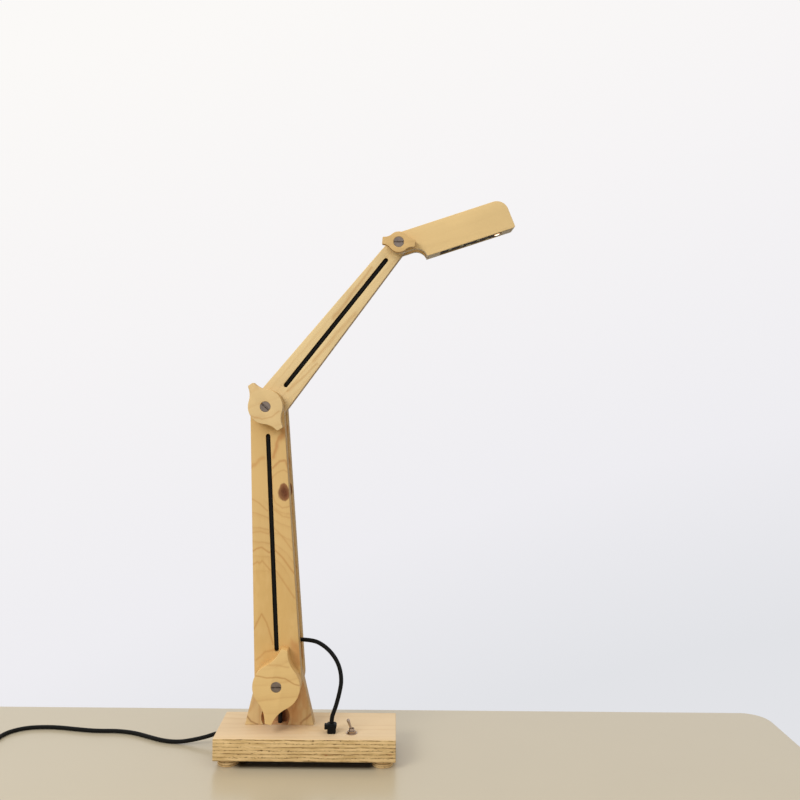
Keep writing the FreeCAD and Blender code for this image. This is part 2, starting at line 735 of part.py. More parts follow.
upper_shape = tapered_outline(size("upper_bottom_radius"), size("upper_top_radius"),
                              size("upper_length"))
upper_groove_end = size("upper_length") - size("upper_groove_stop")
upper_holes = [(0, 0, bore), (0, size("upper_length"), bore),
               (0, size("upper_groove_start"), groove_half),
               (0, upper_groove_end, groove_half)]
upper_board = board("upper_board", upper_shape, upper_holes, size("board"),
                    groove=(size("upper_groove_start"), upper_groove_end,
                            groove_half, size("groove_depth")))
place(upper_board, elbow[0], middle_back, elbow[1], axis=FACING, angle=upper_lean)
keep("upper_arm_board", upper_board)

# --- head --------------------------------------------------------------------------

neck = size("neck_radius")
head_low = -size("head_drop")
tip_low = (size("head_reach"), head_low)
tip_high = (size("head_reach") - size("tip_slant"), neck)
notch_r = size("notch_radius")
notch_drop = size("head_drop") - neck - notch_r
heel_x = size("notch_start") + root(notch_r * notch_r - notch_drop * notch_drop)
low_corner = corner((heel_x, head_low), tip_low, tip_high, size("tip_low_radius"))
high_corner = corner(tip_low, tip_high, (ZERO, neck), size("tip_radius"))


def tip_side(outline):
    """The bottom edge's far part, the tip and the top edge's start."""
    outline.line(*low_corner[0])
    outline.arc(*low_corner[1], size("tip_low_radius"))
    outline.line(*high_corner[0])
    outline.arc(*high_corner[1], size("tip_radius"))
    return outline


window_end = size("window_start") + size("window_length")
window_top = neck - size("rail_height")
slot_width = size("board") + 2 * gap + 2 * size("slot_rebate")


def head_box(label, along, low, length, height, width):
    """A box that lies along the head, centred between its side plates."""
    x, z = spot(head_pivot, size("head_angle"), along, low)
    return box(label, (x, (size("board") - width) / 2, z), (length, width, height),
               axis=FACING, angle=size("head_angle"))


plate_shape = tip_side(Outline(heel_x, head_low))
plate_shape.line(0, neck)
plate_shape.half_round(0, -neck, neck, "DistanceX", 0)
plate_shape.line(size("notch_start"), -neck)
plate_shape.closed_by_arc(notch_r, left=False)
inlet = (size("inlet_along"), size("inlet_up"), groove_half)
head_boards = (("head_front_plate", front_plate_back, [(0, 0, bore)]),
               ("head_rear_plate", head_rear_face, [(0, 0, bore), inlet]))
for name, back, holes in head_boards:
    side_plate = board(f"{name}_board", plate_shape, holes, size("head_plate"))
    place(side_plate, head_pivot[0], back, head_pivot[1],
          axis=FACING, angle=size("head_angle"))
    rebate = head_box(f"{name}_rebate", size("window_start"), head_low - 1,
                      size("window_length"), window_top - head_low + 1, slot_width)
    keep(name, cut(f"{name}_cut", side_plate, [rebate]))

core_shape = Outline(window_end, window_top).line(size("window_start"), window_top)
core_shape.line(size("window_start"), head_low)
core_shape.line(heel_x, head_low)
core_shape.line(heel_x, neck)
core_shape.line(*high_corner[1])
core_shape.arc(*high_corner[0], size("tip_radius"), left=False)
core_shape.line(*low_corner[1])
core_shape.arc(*low_corner[0], size("tip_low_radius"), left=False)
core_shape.line(window_end, head_low)
core_shape.close()
core = board("head_core_board", core_shape, [], size("board") + 2 * gap)
place(core, head_pivot[0], rear_plate_front, head_pivot[1],
      axis=FACING, angle=size("head_angle"))
keep("head_core", core)


sink_low = head_low + size("sink_recess")
led_low = sink_low - size("led_thickness")
keep("led_heat_sink", head_box("light_bar", size("window_start"), sink_low,
                               size("window_length"), size("sink_height"),
                               slot_width - 2 * size("sink_side_gap")))
led_end = size("led_end_gap")
keep("led_board", head_box("light_board", size("window_start") + led_end, led_low,
                           size("window_length") - 2 * led_end, size("led_thickness"),
                           slot_width - 2 * size("led_side_gap")))
lens_x, lens_z = spot(head_pivot, size("head_angle"), size("lens_place"),
                      led_low - size("lens_height"))
lens = cylinder("light_lens", size("lens_radius"), size("lens_height"),
                (lens_x, size("board") / 2, lens_z), axis=FACING, angle=size("head_angle"))
keep("led_lens", lens)

# --- knobs, pivot screws, washers and nuts -----------------------------------------


def pivot_set(name, centre, front, rear, turn, slot_turn):
    """One wooden knob with its countersunk screw, rear washer and nut."""
    x, z = centre
    depth = size(f"{name}_knob_depth")
    back = front - size("knob_gap")
    face = back - depth
    shape = knob_outline(size(f"{name}_knob_radius"), size(f"{name}_knob_reach"),
                         size(f"{name}_knob_tip"), size(f"{name}_knob_flank"))
    disc = board(f"{name}_knob_board", shape, [(0, 0, bore)], depth)
    place(disc, x, back, z, axis=FACING, angle=turn)
    fit = size("screw_seat_fit")
    grow = 1 + fit
    seat = cone(f"{name}_knob_seat", size("screw_head_radius") + grow,
                size("bolt_radius") + fit, size("screw_head_depth") + grow,
                (x, face - 1, z), **BACKWARD)
    keep(f"{name}_knob", cut(f"{name}_knob_cut", disc, [seat]))

    head_cone = cone(f"{name}_screw_head", size("screw_head_radius"), size("bolt_radius"),
                     size("screw_head_depth"), (x, face, z), **BACKWARD)
    tail = rear + size("washer_thickness") + size("nut_thickness") + size("screw_tail")
    shank = cylinder(f"{name}_screw_shank", size("bolt_radius"), tail - face - 1,
                     (x, face + 1, z), **BACKWARD)
    slot_length = 2 * size("screw_head_radius") + 2
    slot_x = x - slot_length / 2 * cosd(slot_turn) + size("slot_width") / 2 * sind(slot_turn)
    slot_z = z - slot_length / 2 * sind(slot_turn) - size("slot_width") / 2 * cosd(slot_turn)
    slot = box(f"{name}_screw_slot", (slot_x, face - 1, slot_z),
               (slot_length, size("slot_depth") + 1, size("slot_width")),
               axis=FACING, angle=slot_turn)
    whole = fuse(f"{name}_screw_whole", [head_cone, shank])
    keep(f"{name}_pivot_bolt", cut(f"{name}_screw_cut", whole, [slot]))

    ring = cylinder(f"{name}_washer_disc", size("washer_radius"), size("washer_thickness"),
                    (x, rear, z), **BACKWARD)
    ring_bore = cylinder(f"{name}_washer_bore", bore, size("washer_thickness") + 2,
                         (x, rear - 1, z), **BACKWARD)
    keep(f"{name}_pivot_washer", cut(f"{name}_washer_ring", ring, [ring_bore]))
    nut_y = rear + size("washer_thickness")
    hexagon = prism(f"{name}_nut_hexagon", size("nut_across"), size("nut_thickness"),
                    (x, nut_y, z), **BACKWARD)
    nut_bore = cylinder(f"{name}_nut_bore", bore, size("nut_thickness") + 2,
                        (x, nut_y - 1, z), **BACKWARD)
    keep(f"{name}_pivot_nut", cut(f"{name}_nut_ring", hexagon, [nut_bore]))


pivot_set("lower", lower_pivot, lower_front_face, lower_rear_face,
          size("lower_knob_angle"), size("lower_slot_angle"))
pivot_set("elbow", elbow, lower_front_face, lower_rear_face,
          size("elbow_knob_angle"), size("elbow_slot_angle"))
pivot_set("head", head_pivot, head_front_face, head_rear_face,
          size("head_knob_angle"), size("head_slot_angle"))

# --- cable clamp and its tie -------------------------------------------------------

half_clamp = size("clamp_side") / 2
clamp_block = box("clamp_blank", (clamp_x - half_clamp, clamp_y - half_clamp, base_top),
                  (size("clamp_side"), size("clamp_side"), size("clamp_height")))
clamp_bore = cylinder("clamp_bore", size("cable_radius") + size("clamp_bore_fit"),
                      size("clamp_height") + 2, (clamp_x, clamp_y, base_top - 1))
keep("cable_clamp", cut("clamp_cut", clamp_block, [clamp_bore]))
band_half = half_clamp + size("tie_thickness")
band_low = base_top + size("tie_height")
band = box("tie_band", (clamp_x - band_half, clamp_y - band_half, band_low),
           (2 * band_half, 2 * band_half, size("tie_width")))
lock = box("tie_lock", (clamp_x - half_clamp - size("tie_head_length"),
                        clamp_y - size("tie_head_width") / 2,
                        band_low + size("tie_width") - size("tie_head_height")),
           (size("tie_head_length"), size("tie_head_width"), size("tie_head_height")))
inside = box("tie_inside", (clamp_x - half_clamp, clamp_y - half_clamp, band_low - 5),
             (size("clamp_side"), size("clamp_side"), size("tie_width") + 10))
keep("cable_tie", cut("tie_cut", fuse("tie_whole", [band, lock]), [inside]))

# --- switch ------------------------------------------------------------------------

tag_low = cavity_top - size("switch_height") - size("terminal_pin")
switch_box = box("switch_box", (switch_x - size("switch_length") / 2,
                                switch_y - size("switch_depth") / 2,
                                cavity_top - size("switch_height")),
                 (size("switch_length"), size("switch_depth"), size("switch_height")))
tags = []
for number in (-1, 0, 1):
    tags.append(box(f"switch_tag_{number + 2}",
                    (switch_x + number * size("switch_length") / 3 - 0.4, switch_y - 1, tag_low),
                    (0.8, 2, size("terminal_pin") + 1)))
keep("switch_body", fuse("switch_whole", [switch_box] + tags))
bushing_length = size("cavity_roof") + size("bushing_rise")
neck_tube = cylinder("bushing_tube", size("bushing_radius"), bushing_length,
                     (switch_x, switch_y, cavity_top))
ball = size("lever_ball_radius")
ball_z = base_top + size("lever_pivot")
mouth = size("bushing_rise") - size("lever_pivot")
ball_socket = cylinder("bushing_socket", ball + size("bushing_fit"), bushing_length + 1,
                       (switch_x, switch_y, ball_z - ball - size("bushing_fit")))
mouth_cone = cone("bushing_mouth", ball + size("bushing_fit"),
                  size("bushing_radius") - 0.45, mouth, (switch_x, switch_y, ball_z))
keep("switch_bushing", cut("bushing_cut", neck_tube, [ball_socket, mouth_cone]))
plate = cylinder("switch_washer_disc", size("switch_washer_radius"),
                 size("switch_washer_thickness"), (switch_x, switch_y, base_top))
neck_bore = size("bushing_radius") + size("bushing_fit")
plate_bore = cylinder("switch_washer_bore", neck_bore, size("switch_washer_thickness") + 2,
                      (switch_x, switch_y, base_top - 1))
keep("switch_washer", cut("switch_washer_ring", plate, [plate_bore]))
nut_low = base_top + size("switch_washer_thickness")
small_hexagon = prism("switch_nut_hexagon", size("switch_nut_across"),
                      size("switch_nut_thickness"), (switch_x, switch_y, nut_low))
small_bore = cylinder("switch_nut_bore", neck_bore, size("switch_nut_thickness") + 2,
                      (switch_x, switch_y, nut_low - 1))
keep("switch_nut", cut("switch_nut_ring", small_hexagon, [small_bore]))

lever_turn = {"axis": FACING, "angle": size("lever_angle")}
stem = cone("lever_stem", size("lever_radius"), size("lever_tip_radius"),
            size("lever_length") - size("lever_tip_radius"),
            (switch_x, switch_y, ball_z), **lever_turn)
lever_ends = []
tip_out = size("lever_length") - size("lever_tip_radius")
tip_x = switch_x - tip_out * sind(size("lever_angle"))
tip_z = ball_z + tip_out * cosd(size("lever_angle"))
for label, radius, x, z in (("lever_ball", ball, switch_x, ball_z),
                            ("lever_tip", size("lever_tip_radius"), tip_x, tip_z)):
    end = doc.addObject("Part::Sphere", label)
    end.Radius = radius.value
    end.setExpression("Radius", radius.text)
    lever_ends.append(place(end, x, switch_y, z, **lever_turn))
keep("switch_lever", fuse("lever_whole", [stem] + lever_ends))

# --- terminal block ----------------------------------------------------------------

terminal_x = cavity_x + size("terminal_start")
terminal_low = base_bottom + seat_depth + size("terminal_clearance")
terminal_y = half_cavity - size("terminal_inset") - size("terminal_width")
keep("terminal_block", box("terminal_box", (terminal_x, terminal_y, terminal_low),
                           (size("terminal_length"), size("terminal_width"),
                            cavity_top - terminal_low)))

# --- cables ------------------------------------------------------------------------

cable_r = size("cable_radius").value
base_mid = V(base_x.value, 0, 0)


def route_wire(points, radii_note, bend=None):
    """Straight runs joined by tangent arcs, each as large as its two runs allow."""
    edges = []
    here = points[0]
    for number in range(1, len(points) - 1):
        p = points[number]
        back = points[number - 1] - p
        on = points[number + 1] - p
        turn = math.pi - back.getAngle(on)
        reach = 0.45 * min(back.Length, on.Length)
        if bend is not None:
            reach = bend * math.tan(turn / 2)
        radius = reach / math.tan(turn / 2)
        radii_note.append(radius)
        back.normalize()
        on.normalize()
        start = p + back * reach
        stop = p + on * reach
        inward = (back + on).normalize()
        middle = p + inward * (radius / math.cos(turn / 2) - radius)
        edges.append(Part.LineSegment(here, start).toShape())
        edges.append(Part.Arc(start, middle, stop).toShape())
        here = stop
    edges.append(Part.LineSegment(here, points[-1]).toShape())
    return Part.Wire(edges)


def tube_solid(wire, radius, start, heading, corners=0):
    """Carry a round section along a wire."""
    circle = Part.Wire([Part.Circle(start, heading, radius).toShape()])
    return wire.makePipeShell([circle], True, False, corners)


def cord(name, points, bend=None, corners=0):
    """A round cable along a route, checked against its section times its length."""
    radii = []
    wire = route_wire(points, radii, bend)
    shape = tube_solid(wire, cable_r, points[0], points[1] - points[0], corners)
    whole = math.pi * cable_r ** 2 * wire.Length
    print(f"{name}: length {wire.Length:.1f}, volume {shape.Volume:.0f} of {whole:.0f}, "
          f"radii {' '.join(f'{r:.0f}' for r in radii)}")
    return shape


def feature(name, shape):
    """Keep a computed shape as a node."""
    obj = doc.addObject("Part::Feature", f"{name}_shape")
    obj.Shape = shape
    obj.Placement = FreeCAD.Placement()
    return keep(name, obj)


def at(point, y):
    """A 3-D point from an (x, z) pair and a depth."""
    return V(point[0].value, Dim.of(y).value, point[1].value)


# supply lead inside the base, then across the table
lead_exit = V((base_x - half_base).value, lead_y.value, lead_z.value)
inner_end = V(terminal_x.value, lead_y.value, lead_z.value)
feature("lead_inner", cord("lead_inner", [inner_end, lead_exit]))

coil_pitch = 2 * cable_r + size("coil_gap").value
coil_turns = int(size("coil_turns").value)
coil_sweep = 2 * math.pi * 2 * coil_turns + math.pi        # both layers and the climb
coil_outer = size("coil_inner").value + coil_pitch * coil_sweep / (4 * math.pi)
coil_mid = V(lead_exit.x - size("coil_reach").value,
             lead_exit.y - size("coil_shift").value, cable_r)
coil_entry = coil_mid + V(coil_outer, 2 * cable_r, 0)
# from the outlet in x and y, and above the floor by the cable's radius and this much
LEAD_ROUTE = [
    (-7, 0, 11.2), (-20, 0, 6.4), (-36, 0.2, 2.6), (-51, 0.8, 0),
    (-69, 3.5, 0), (-89, 14.5, 0), (-109, 26, 0), (-131, 31.5, 0),
    (-155, 30.5, 0), (-179, 35, 0), (-203, 40.5, 0), (-225, 41, 0),
    (-242, 37, 0),
]
COIL_APPROACH = [(4.4, 29.4, 0), (0.2, 13.9, 0), (0, 0, 0)]     # from the coil's entry
lead_floor = V(lead_exit.x, lead_exit.y, cable_r)
lead_points = [lead_exit] + [lead_floor + V(*point) for point in LEAD_ROUTE]
lead_points += [coil_entry + V(*point) for point in COIL_APPROACH]
feature("supply_lead", cord("supply_lead", lead_points))


def coil_point(phi):
    """A point of the coil's centre line: it winds in, climbs a layer and winds out."""
    past_middle = phi - coil_sweep / 2
    radius = size("coil_inner").value + coil_pitch * abs(past_middle) / (2 * math.pi)
    climb = min(max(past_middle / math.pi + 0.5, 0), 1)
    return coil_mid + V(radius * math.cos(phi), -radius * math.sin(phi), coil_pitch * climb)


def coil_heading(phi):
    """Direction of the coil's centre line, level at the change of layer."""
    return V(-math.sin(phi), -math.cos(phi), 0)


def biarc(start, heading, stop, leaving):
    """Two arcs that join two points and headings smoothly."""
    chord = stop - start
    both = heading + leaving
    mixed = chord.dot(both)
    spread = 2 * (1 - heading.dot(leaving))
    if spread < 1e-9:
        reach = chord.dot(chord) / (4 * chord.dot(leaving))
    else:
        reach = (-mixed + math.sqrt(mixed * mixed + spread * chord.dot(chord))) / spread
    joint = (start + stop + (heading - leaving) * reach) * 0.5
    edges = []
    for first, direction, last in ((start, heading, joint), (stop, leaving * -1, joint)):
        span = last - first
        angle = span.getAngle(direction)
        if angle < 1e-6:
            edges.append(Part.LineSegment(first, last).toShape())
            continue
        side = (direction - span * (direction.dot(span) / span.dot(span))).normalize()
        middle = (first + last) * 0.5 + side * (span.Length / 2 * math.tan(angle / 2))
        edges.append(Part.Arc(first, middle, last).toShape())
    return edges


def coil_wire():
    """The coil's centre line, with a straight piece at each end."""
    steps = 4 * coil_turns * 2 + 2
    stops = [coil_sweep * number / steps for number in range(steps + 1)]
    entry = coil_point(0)
    edges = [Part.LineSegment(entry + V(0, 2 * cable_r, 0), entry).toShape()]
    for first, last in zip(stops[:-1], stops[1:]):
        edges += biarc(coil_point(first), coil_heading(first),
                       coil_point(last), coil_heading(last))
    away = coil_point(coil_sweep)
    edges.append(Part.LineSegment(away, away + V(0, 2 * cable_r, 0)).toShape())
    return Part.Wire(Part.__sortEdges__(edges)), away + V(0, 2 * cable_r, 0)


wound, plug_start = coil_wire()
coil_shape = tube_solid(wound, cable_r, coil_entry, V(0, -1, 0))
samples = wound.discretize(Number=1400)
near = 10 * cable_r
step = wound.Length / (len(samples) - 1)
skip = int(near / step)
least = 1e9
for number, point in enumerate(samples):
    for other in samples[number + skip:]:
        least = min(least, point.distanceToPoint(other))
print(f"lead_coil: length {wound.Length:.1f}, volume {coil_shape.Volume:.0f} of "
      f"{math.pi * cable_r ** 2 * wound.Length:.0f}, least gap {least - 2 * cable_r:.2f}")
feature("lead_coil", coil_shape)

plug_x = Dim(plug_start.x, f"{plug_start.x}")
plug_y = Dim(plug_start.y, f"{plug_start.y}")
plug_z = Dim(plug_start.z, f"{plug_start.z}")
relief = cone("plug_relief", size("relief_radius"), size("relief_wide_radius"),
              size("relief_length"), (plug_x, plug_y, plug_z), **BACKWARD)
grip = cylinder("plug_grip", size("plug_radius"), size("plug_length"),
                (plug_x, plug_y + size("relief_length"), plug_z), **BACKWARD)
keep("plug_body", fuse("plug_whole", [relief, grip]))
barrel_y = plug_y + size("relief_length") + size("plug_length")
barrel = cylinder("plug_barrel_tube", size("barrel_radius"), size("barrel_length"),
                  (plug_x, barrel_y, plug_z), **BACKWARD)
barrel_hole = cylinder("plug_barrel_bore", size("barrel_bore"), size("barrel_length"),
                       (plug_x, barrel_y + 1, plug_z), **BACKWARD)
keep("plug_barrel", cut("plug_barrel_cut", barrel, [barrel_hole]))

# cable from the terminal block up through the clamp
inner_z = (base_bottom + size("inner_height")).value
clamp_top = (base_top + size("clamp_height")).value
clamp_exit = V(clamp_x.value, clamp_y.value, clamp_top)
inner_route = [V(clamp_x.value, terminal_y.value, inner_z),
               V(clamp_x.value, clamp_y.value, inner_z), clamp_exit]
feature("arm_cable_inner", cord("arm_cable_inner", inner_route,
                                bend=size("inner_bend").value))

# loop from the clamp to the gap between the lower arm's boards
low_end = spot(lower_pivot, size("lower_angle"), size("lower_groove_start"))
high_end = spot(lower_pivot, size("lower_angle"), lower_groove_end)
# its first points from the lower pivot in the middle layer, the others from the clamp
LOOP_FROM_PIVOT = [(22, 0, 40.9), (36.3, -2.5, 41.3), (48.8, -8, 36.7)]
LOOP_FROM_CLAMP = [
    (0.2, 15, 69.1), (7.4, 11, 57.5), (10, 7.5, 43.5), (8, 4.5, 31.5),
    (4.9, 2, 19.5), (2.6, 0.5, 13), (0, 0, 6), (0, 0, 0),
]
loop_middle = at(lower_pivot, size("board") / 2)
loop_points = [loop_middle + V(*point) for point in LOOP_FROM_PIVOT]
loop_points += [clamp_exit + V(*point) for point in LOOP_FROM_CLAMP]
loop_start = loop_points[0]
feature("arm_cable_loop", cord("arm_cable_loop", loop_points))

# cable of the lower arm: out of the gap, through the board and up the groove
INTO_GAP = 0.85             # share of the loop's first run, carried on into the gap
TURN_DROP = 0.8             # the cable drops forward this much before it turns in
into_gap = loop_start - (loop_points[1] - loop_start) * INTO_GAP
turn_in = at(low_end, into_gap.y - TURN_DROP)
bend_part = cord("lower_arm_cable_bend",
                 [loop_start, into_gap, turn_in, at(low_end, cable_in_lower)])
run = Part.Wire([Part.LineSegment(at(low_end, cable_in_lower),
                                  at(high_end, cable_in_lower)).toShape(),
                 Part.LineSegment(at(high_end, cable_in_lower),
                                  at(high_end, lower_rear_face)).toShape()])
ways = at(high_end, 0) - at(low_end, 0)
run_part = tube_solid(run, cable_r, at(low_end, cable_in_lower), ways, 1)
knee = Part.makeSphere(cable_r, at(low_end, cable_in_lower))
feature("lower_arm_cable", bend_part.fuse([knee, run_part]).removeSplitter())

# loop behind the elbow
upper_low = spot(elbow, size("upper_angle"), size("upper_groove_start"))
upper_high = spot(elbow, size("upper_angle"), upper_groove_end)
elbow_from = at(high_end, lower_rear_face)
elbow_to = at(upper_low, middle_back)
ELBOW_OUT = [(0, 0, 0), (0, 10, 0), (-2.2, 19.5, 6.5), (-4.2, 25.5, 18)]
ELBOW_IN = [(-17, 40, -24), (-8.5, 32.5, -9.5), (-2, 22, -1.5), (0, 11, 0), (0, 0, 0)]
elbow_points = [elbow_from + V(*point) for point in ELBOW_OUT]
elbow_points += [elbow_to + V(*point) for point in ELBOW_IN]
feature("elbow_cable_loop", cord("elbow_cable_loop", elbow_points))

# cable of the upper arm: in from behind, along the groove and out again
upper_run = Part.Wire([
    Part.LineSegment(elbow_to, at(upper_low, cable_in_upper)).toShape(),
    Part.LineSegment(at(upper_low, cable_in_upper), at(upper_high, cable_in_upper)).toShape(),
    Part.LineSegment(at(upper_high, cable_in_upper), at(upper_high, middle_back)).toShape(),
])
feature("upper_arm_cable", tube_solid(upper_run, cable_r, elbow_to, V(0, -1, 0), 1))

# loop behind the head's neck, in the head's own directions
head_from = at(upper_high, middle_back)
head_to = at(spot(head_pivot, size("head_angle"), size("inlet_along"), size("inlet_up")),
             head_rear_face)
# along the head, up from it and behind its rear face
HEAD_ROUTE = [(-16.5, -10.4, 9.75), (-9.5, -5.2, 16.75), (2.5, 0.6, 21.75),
              (17, 2.8, 24.25), (31, 1.6, 23.65), (40.5, -0.6, 19.05)]
HEAD_OUT = [(0, 0, 0), (0, 8.5, 0)]
HEAD_IN = [(0, 10.25, 0), (0, 0, 0)]
head_points = [head_from + V(*point) for point in HEAD_OUT]
for along, up, behind in HEAD_ROUTE:
    head_points.append(at(spot(head_pivot, size("head_angle"), along, up),
                          head_rear_face + behind))
head_points += [head_to + V(*point) for point in HEAD_IN]
feature("head_cable_loop", cord("head_cable_loop", head_points))

# last piece of the cable, down onto the light unit
inlet_drop = size("inlet_up") - (sink_low + size("sink_height"))
inlet_spot = spot(head_pivot, size("head_angle"), size("inlet_along"), size("inlet_up"))
landing = spot(head_pivot, size("head_angle"), size("inlet_along"),
               size("inlet_up") - inlet_drop)
last_run = Part.Wire([
    Part.LineSegment(head_to, at(inlet_spot, size("board") / 2)).toShape(),
    Part.LineSegment(at(inlet_spot, size("board") / 2),
                     at(landing, size("board") / 2)).toShape(),
])
feature("head_cable_inner", tube_solid(last_run, cable_r, head_to, V(0, -1, 0), 1))

# --- checks and files --------------------------------------------------------------

doc.recompute()
for obj in doc.Objects:
    if "Invalid" in obj.State or "Error" in obj.State:
        raise RuntimeError(f"{obj.Name} failed: {obj.State}")
    if obj.TypeId == "Sketcher::SketchObject" and not obj.FullyConstrained:
        raise RuntimeError(f"{obj.Name} is not fully constrained")
os.makedirs("parts", exist_ok=True)
whole_box = FreeCAD.BoundBox()
for name, obj in nodes:
    shape = obj.Shape
    if shape.isNull() or not shape.isValid() or not shape.Solids:
        raise RuntimeError(f"{name} has no valid solid")
for name, obj in nodes:
    obj.Shape.exportStep(f"parts/{name}.step")
    whole_box.add(obj.Shape.BoundBox)
print(f"{len(nodes)} nodes, box {whole_box}")
print(f"pivots: lower {lower_pivot[0].value:.2f} {lower_pivot[1].value:.2f}, "
      f"elbow {elbow[0].value:.2f} {elbow[1].value:.2f}, "
      f"head {head_pivot[0].value:.2f} {head_pivot[1].value:.2f}, "
      f"lever {switch_x.value:.2f} {switch_y.value:.2f} {ball_z.value:.2f}")
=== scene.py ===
"""Accordion desk lamp: wooden boards, winged knobs, black cable and a slim LED head.

Every length in a class below is in millimetres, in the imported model's own frame: +Z up,
the front with the knobs towards -Y.  Meshes are written in metres.
"""
from __future__ import annotations

import logging
import math
from dataclasses import dataclass, field
from enum import Enum

import bpy
import numpy as np
from mathutils import Euler, Matrix, Vector, geometry


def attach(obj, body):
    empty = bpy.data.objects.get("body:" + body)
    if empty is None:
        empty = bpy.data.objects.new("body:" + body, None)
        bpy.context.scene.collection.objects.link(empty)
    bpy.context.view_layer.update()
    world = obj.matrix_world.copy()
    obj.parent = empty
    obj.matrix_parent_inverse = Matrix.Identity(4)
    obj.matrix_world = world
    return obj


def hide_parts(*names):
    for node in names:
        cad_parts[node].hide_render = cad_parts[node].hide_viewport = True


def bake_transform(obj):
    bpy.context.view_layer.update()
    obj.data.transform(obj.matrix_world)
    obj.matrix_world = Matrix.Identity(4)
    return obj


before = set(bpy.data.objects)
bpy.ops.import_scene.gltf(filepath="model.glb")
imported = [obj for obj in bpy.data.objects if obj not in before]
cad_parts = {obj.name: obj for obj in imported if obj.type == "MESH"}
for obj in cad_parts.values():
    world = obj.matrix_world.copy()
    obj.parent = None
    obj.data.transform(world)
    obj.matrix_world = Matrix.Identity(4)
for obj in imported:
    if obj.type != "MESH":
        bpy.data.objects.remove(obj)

logging.basicConfig(level=logging.INFO, format="%(name)s: %(message)s")
LOG = logging.getLogger("desk_lamp")
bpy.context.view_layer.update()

MM = 0.001
Colour = tuple[float, float, float]


# --- shared places -------------------------------------------------------------------

@dataclass(frozen=True)
class Layout:
    """Pivots, layers and angles shared by the lamp's sub-assemblies."""

    base_x: float = -62.8
    base_bottom: float = 8.0
    base_top: float = 32.0
    board: float = 15.0
    arm_plate: float = 14.0
    head_plate: float = 6.5
    gap: float = 0.25
    knob_gap: float = 0.25
    lower_pivot: tuple[float, float] = (-94.3, 83.5)
    lower_length: float = 300.0
    lower_angle: float = 92.8
    upper_length: float = 229.0
    upper_angle: float = 51.8
    head_angle: float = 18.6
    cable_radius: float = 2.3

    def along(self, origin: tuple[float, float], angle: float, far: float,
              left: float = 0.0) -> tuple[float, float]:
        """A point (x, z) of a board turned by an angle about its origin.

        Args:
            origin: The board's pivot, as x and z.
            angle: The board's angle from level, in degrees.
            far: Distance along the board.
            left: Distance to the left of that line.

        Returns:
            The point's x and z.
        """
        cosine, sine = math.cos(math.radians(angle)), math.sin(math.radians(angle))
        return (origin[0] + far * cosine - left * sine, origin[1] + far * sine + left * cosine)

    @property
    def elbow(self) -> tuple[float, float]:
        """The elbow pivot as x and z."""
        return self.along(self.lower_pivot, self.lower_angle, self.lower_length)

    @property
    def head_pivot(self) -> tuple[float, float]:
        """The head's pivot as x and z."""
        return self.along(self.elbow, self.upper_angle, self.upper_length)

    @property
    def lower_front(self) -> float:
        """Depth of the lower arm's front face."""
        return -self.gap - self.arm_plate

    @property
    def lower_rear(self) -> float:
        """Depth of the lower arm's rear face."""
        return self.board + self.gap + self.arm_plate

    @property
    def head_front(self) -> float:
        """Depth of the head's front face."""
        return -self.gap - self.head_plate

    @property
    def head_rear(self) -> float:
        """Depth of the head's rear face."""
        return self.board + self.gap + self.head_plate


PLAN = Layout()


# --- colour and node helpers -----------------------------------------------------------

def linear(rgb: Colour) -> tuple[float, float, float, float]:
    """Turn a screen colour of 0 to 255 into a linear one with alpha.

    Args:
        rgb: Red, green and blue as seen on a screen.

    Returns:
        The linear colour and an alpha of 1.
    """
    scaled = np.asarray(rgb, float) / 255.0
    low = scaled / 12.92
    high = ((scaled + 0.055) / 1.055) ** 2.4
    red, green, blue = np.where(scaled <= 0.04045, low, high)
    return (float(red), float(green), float(blue), 1.0)


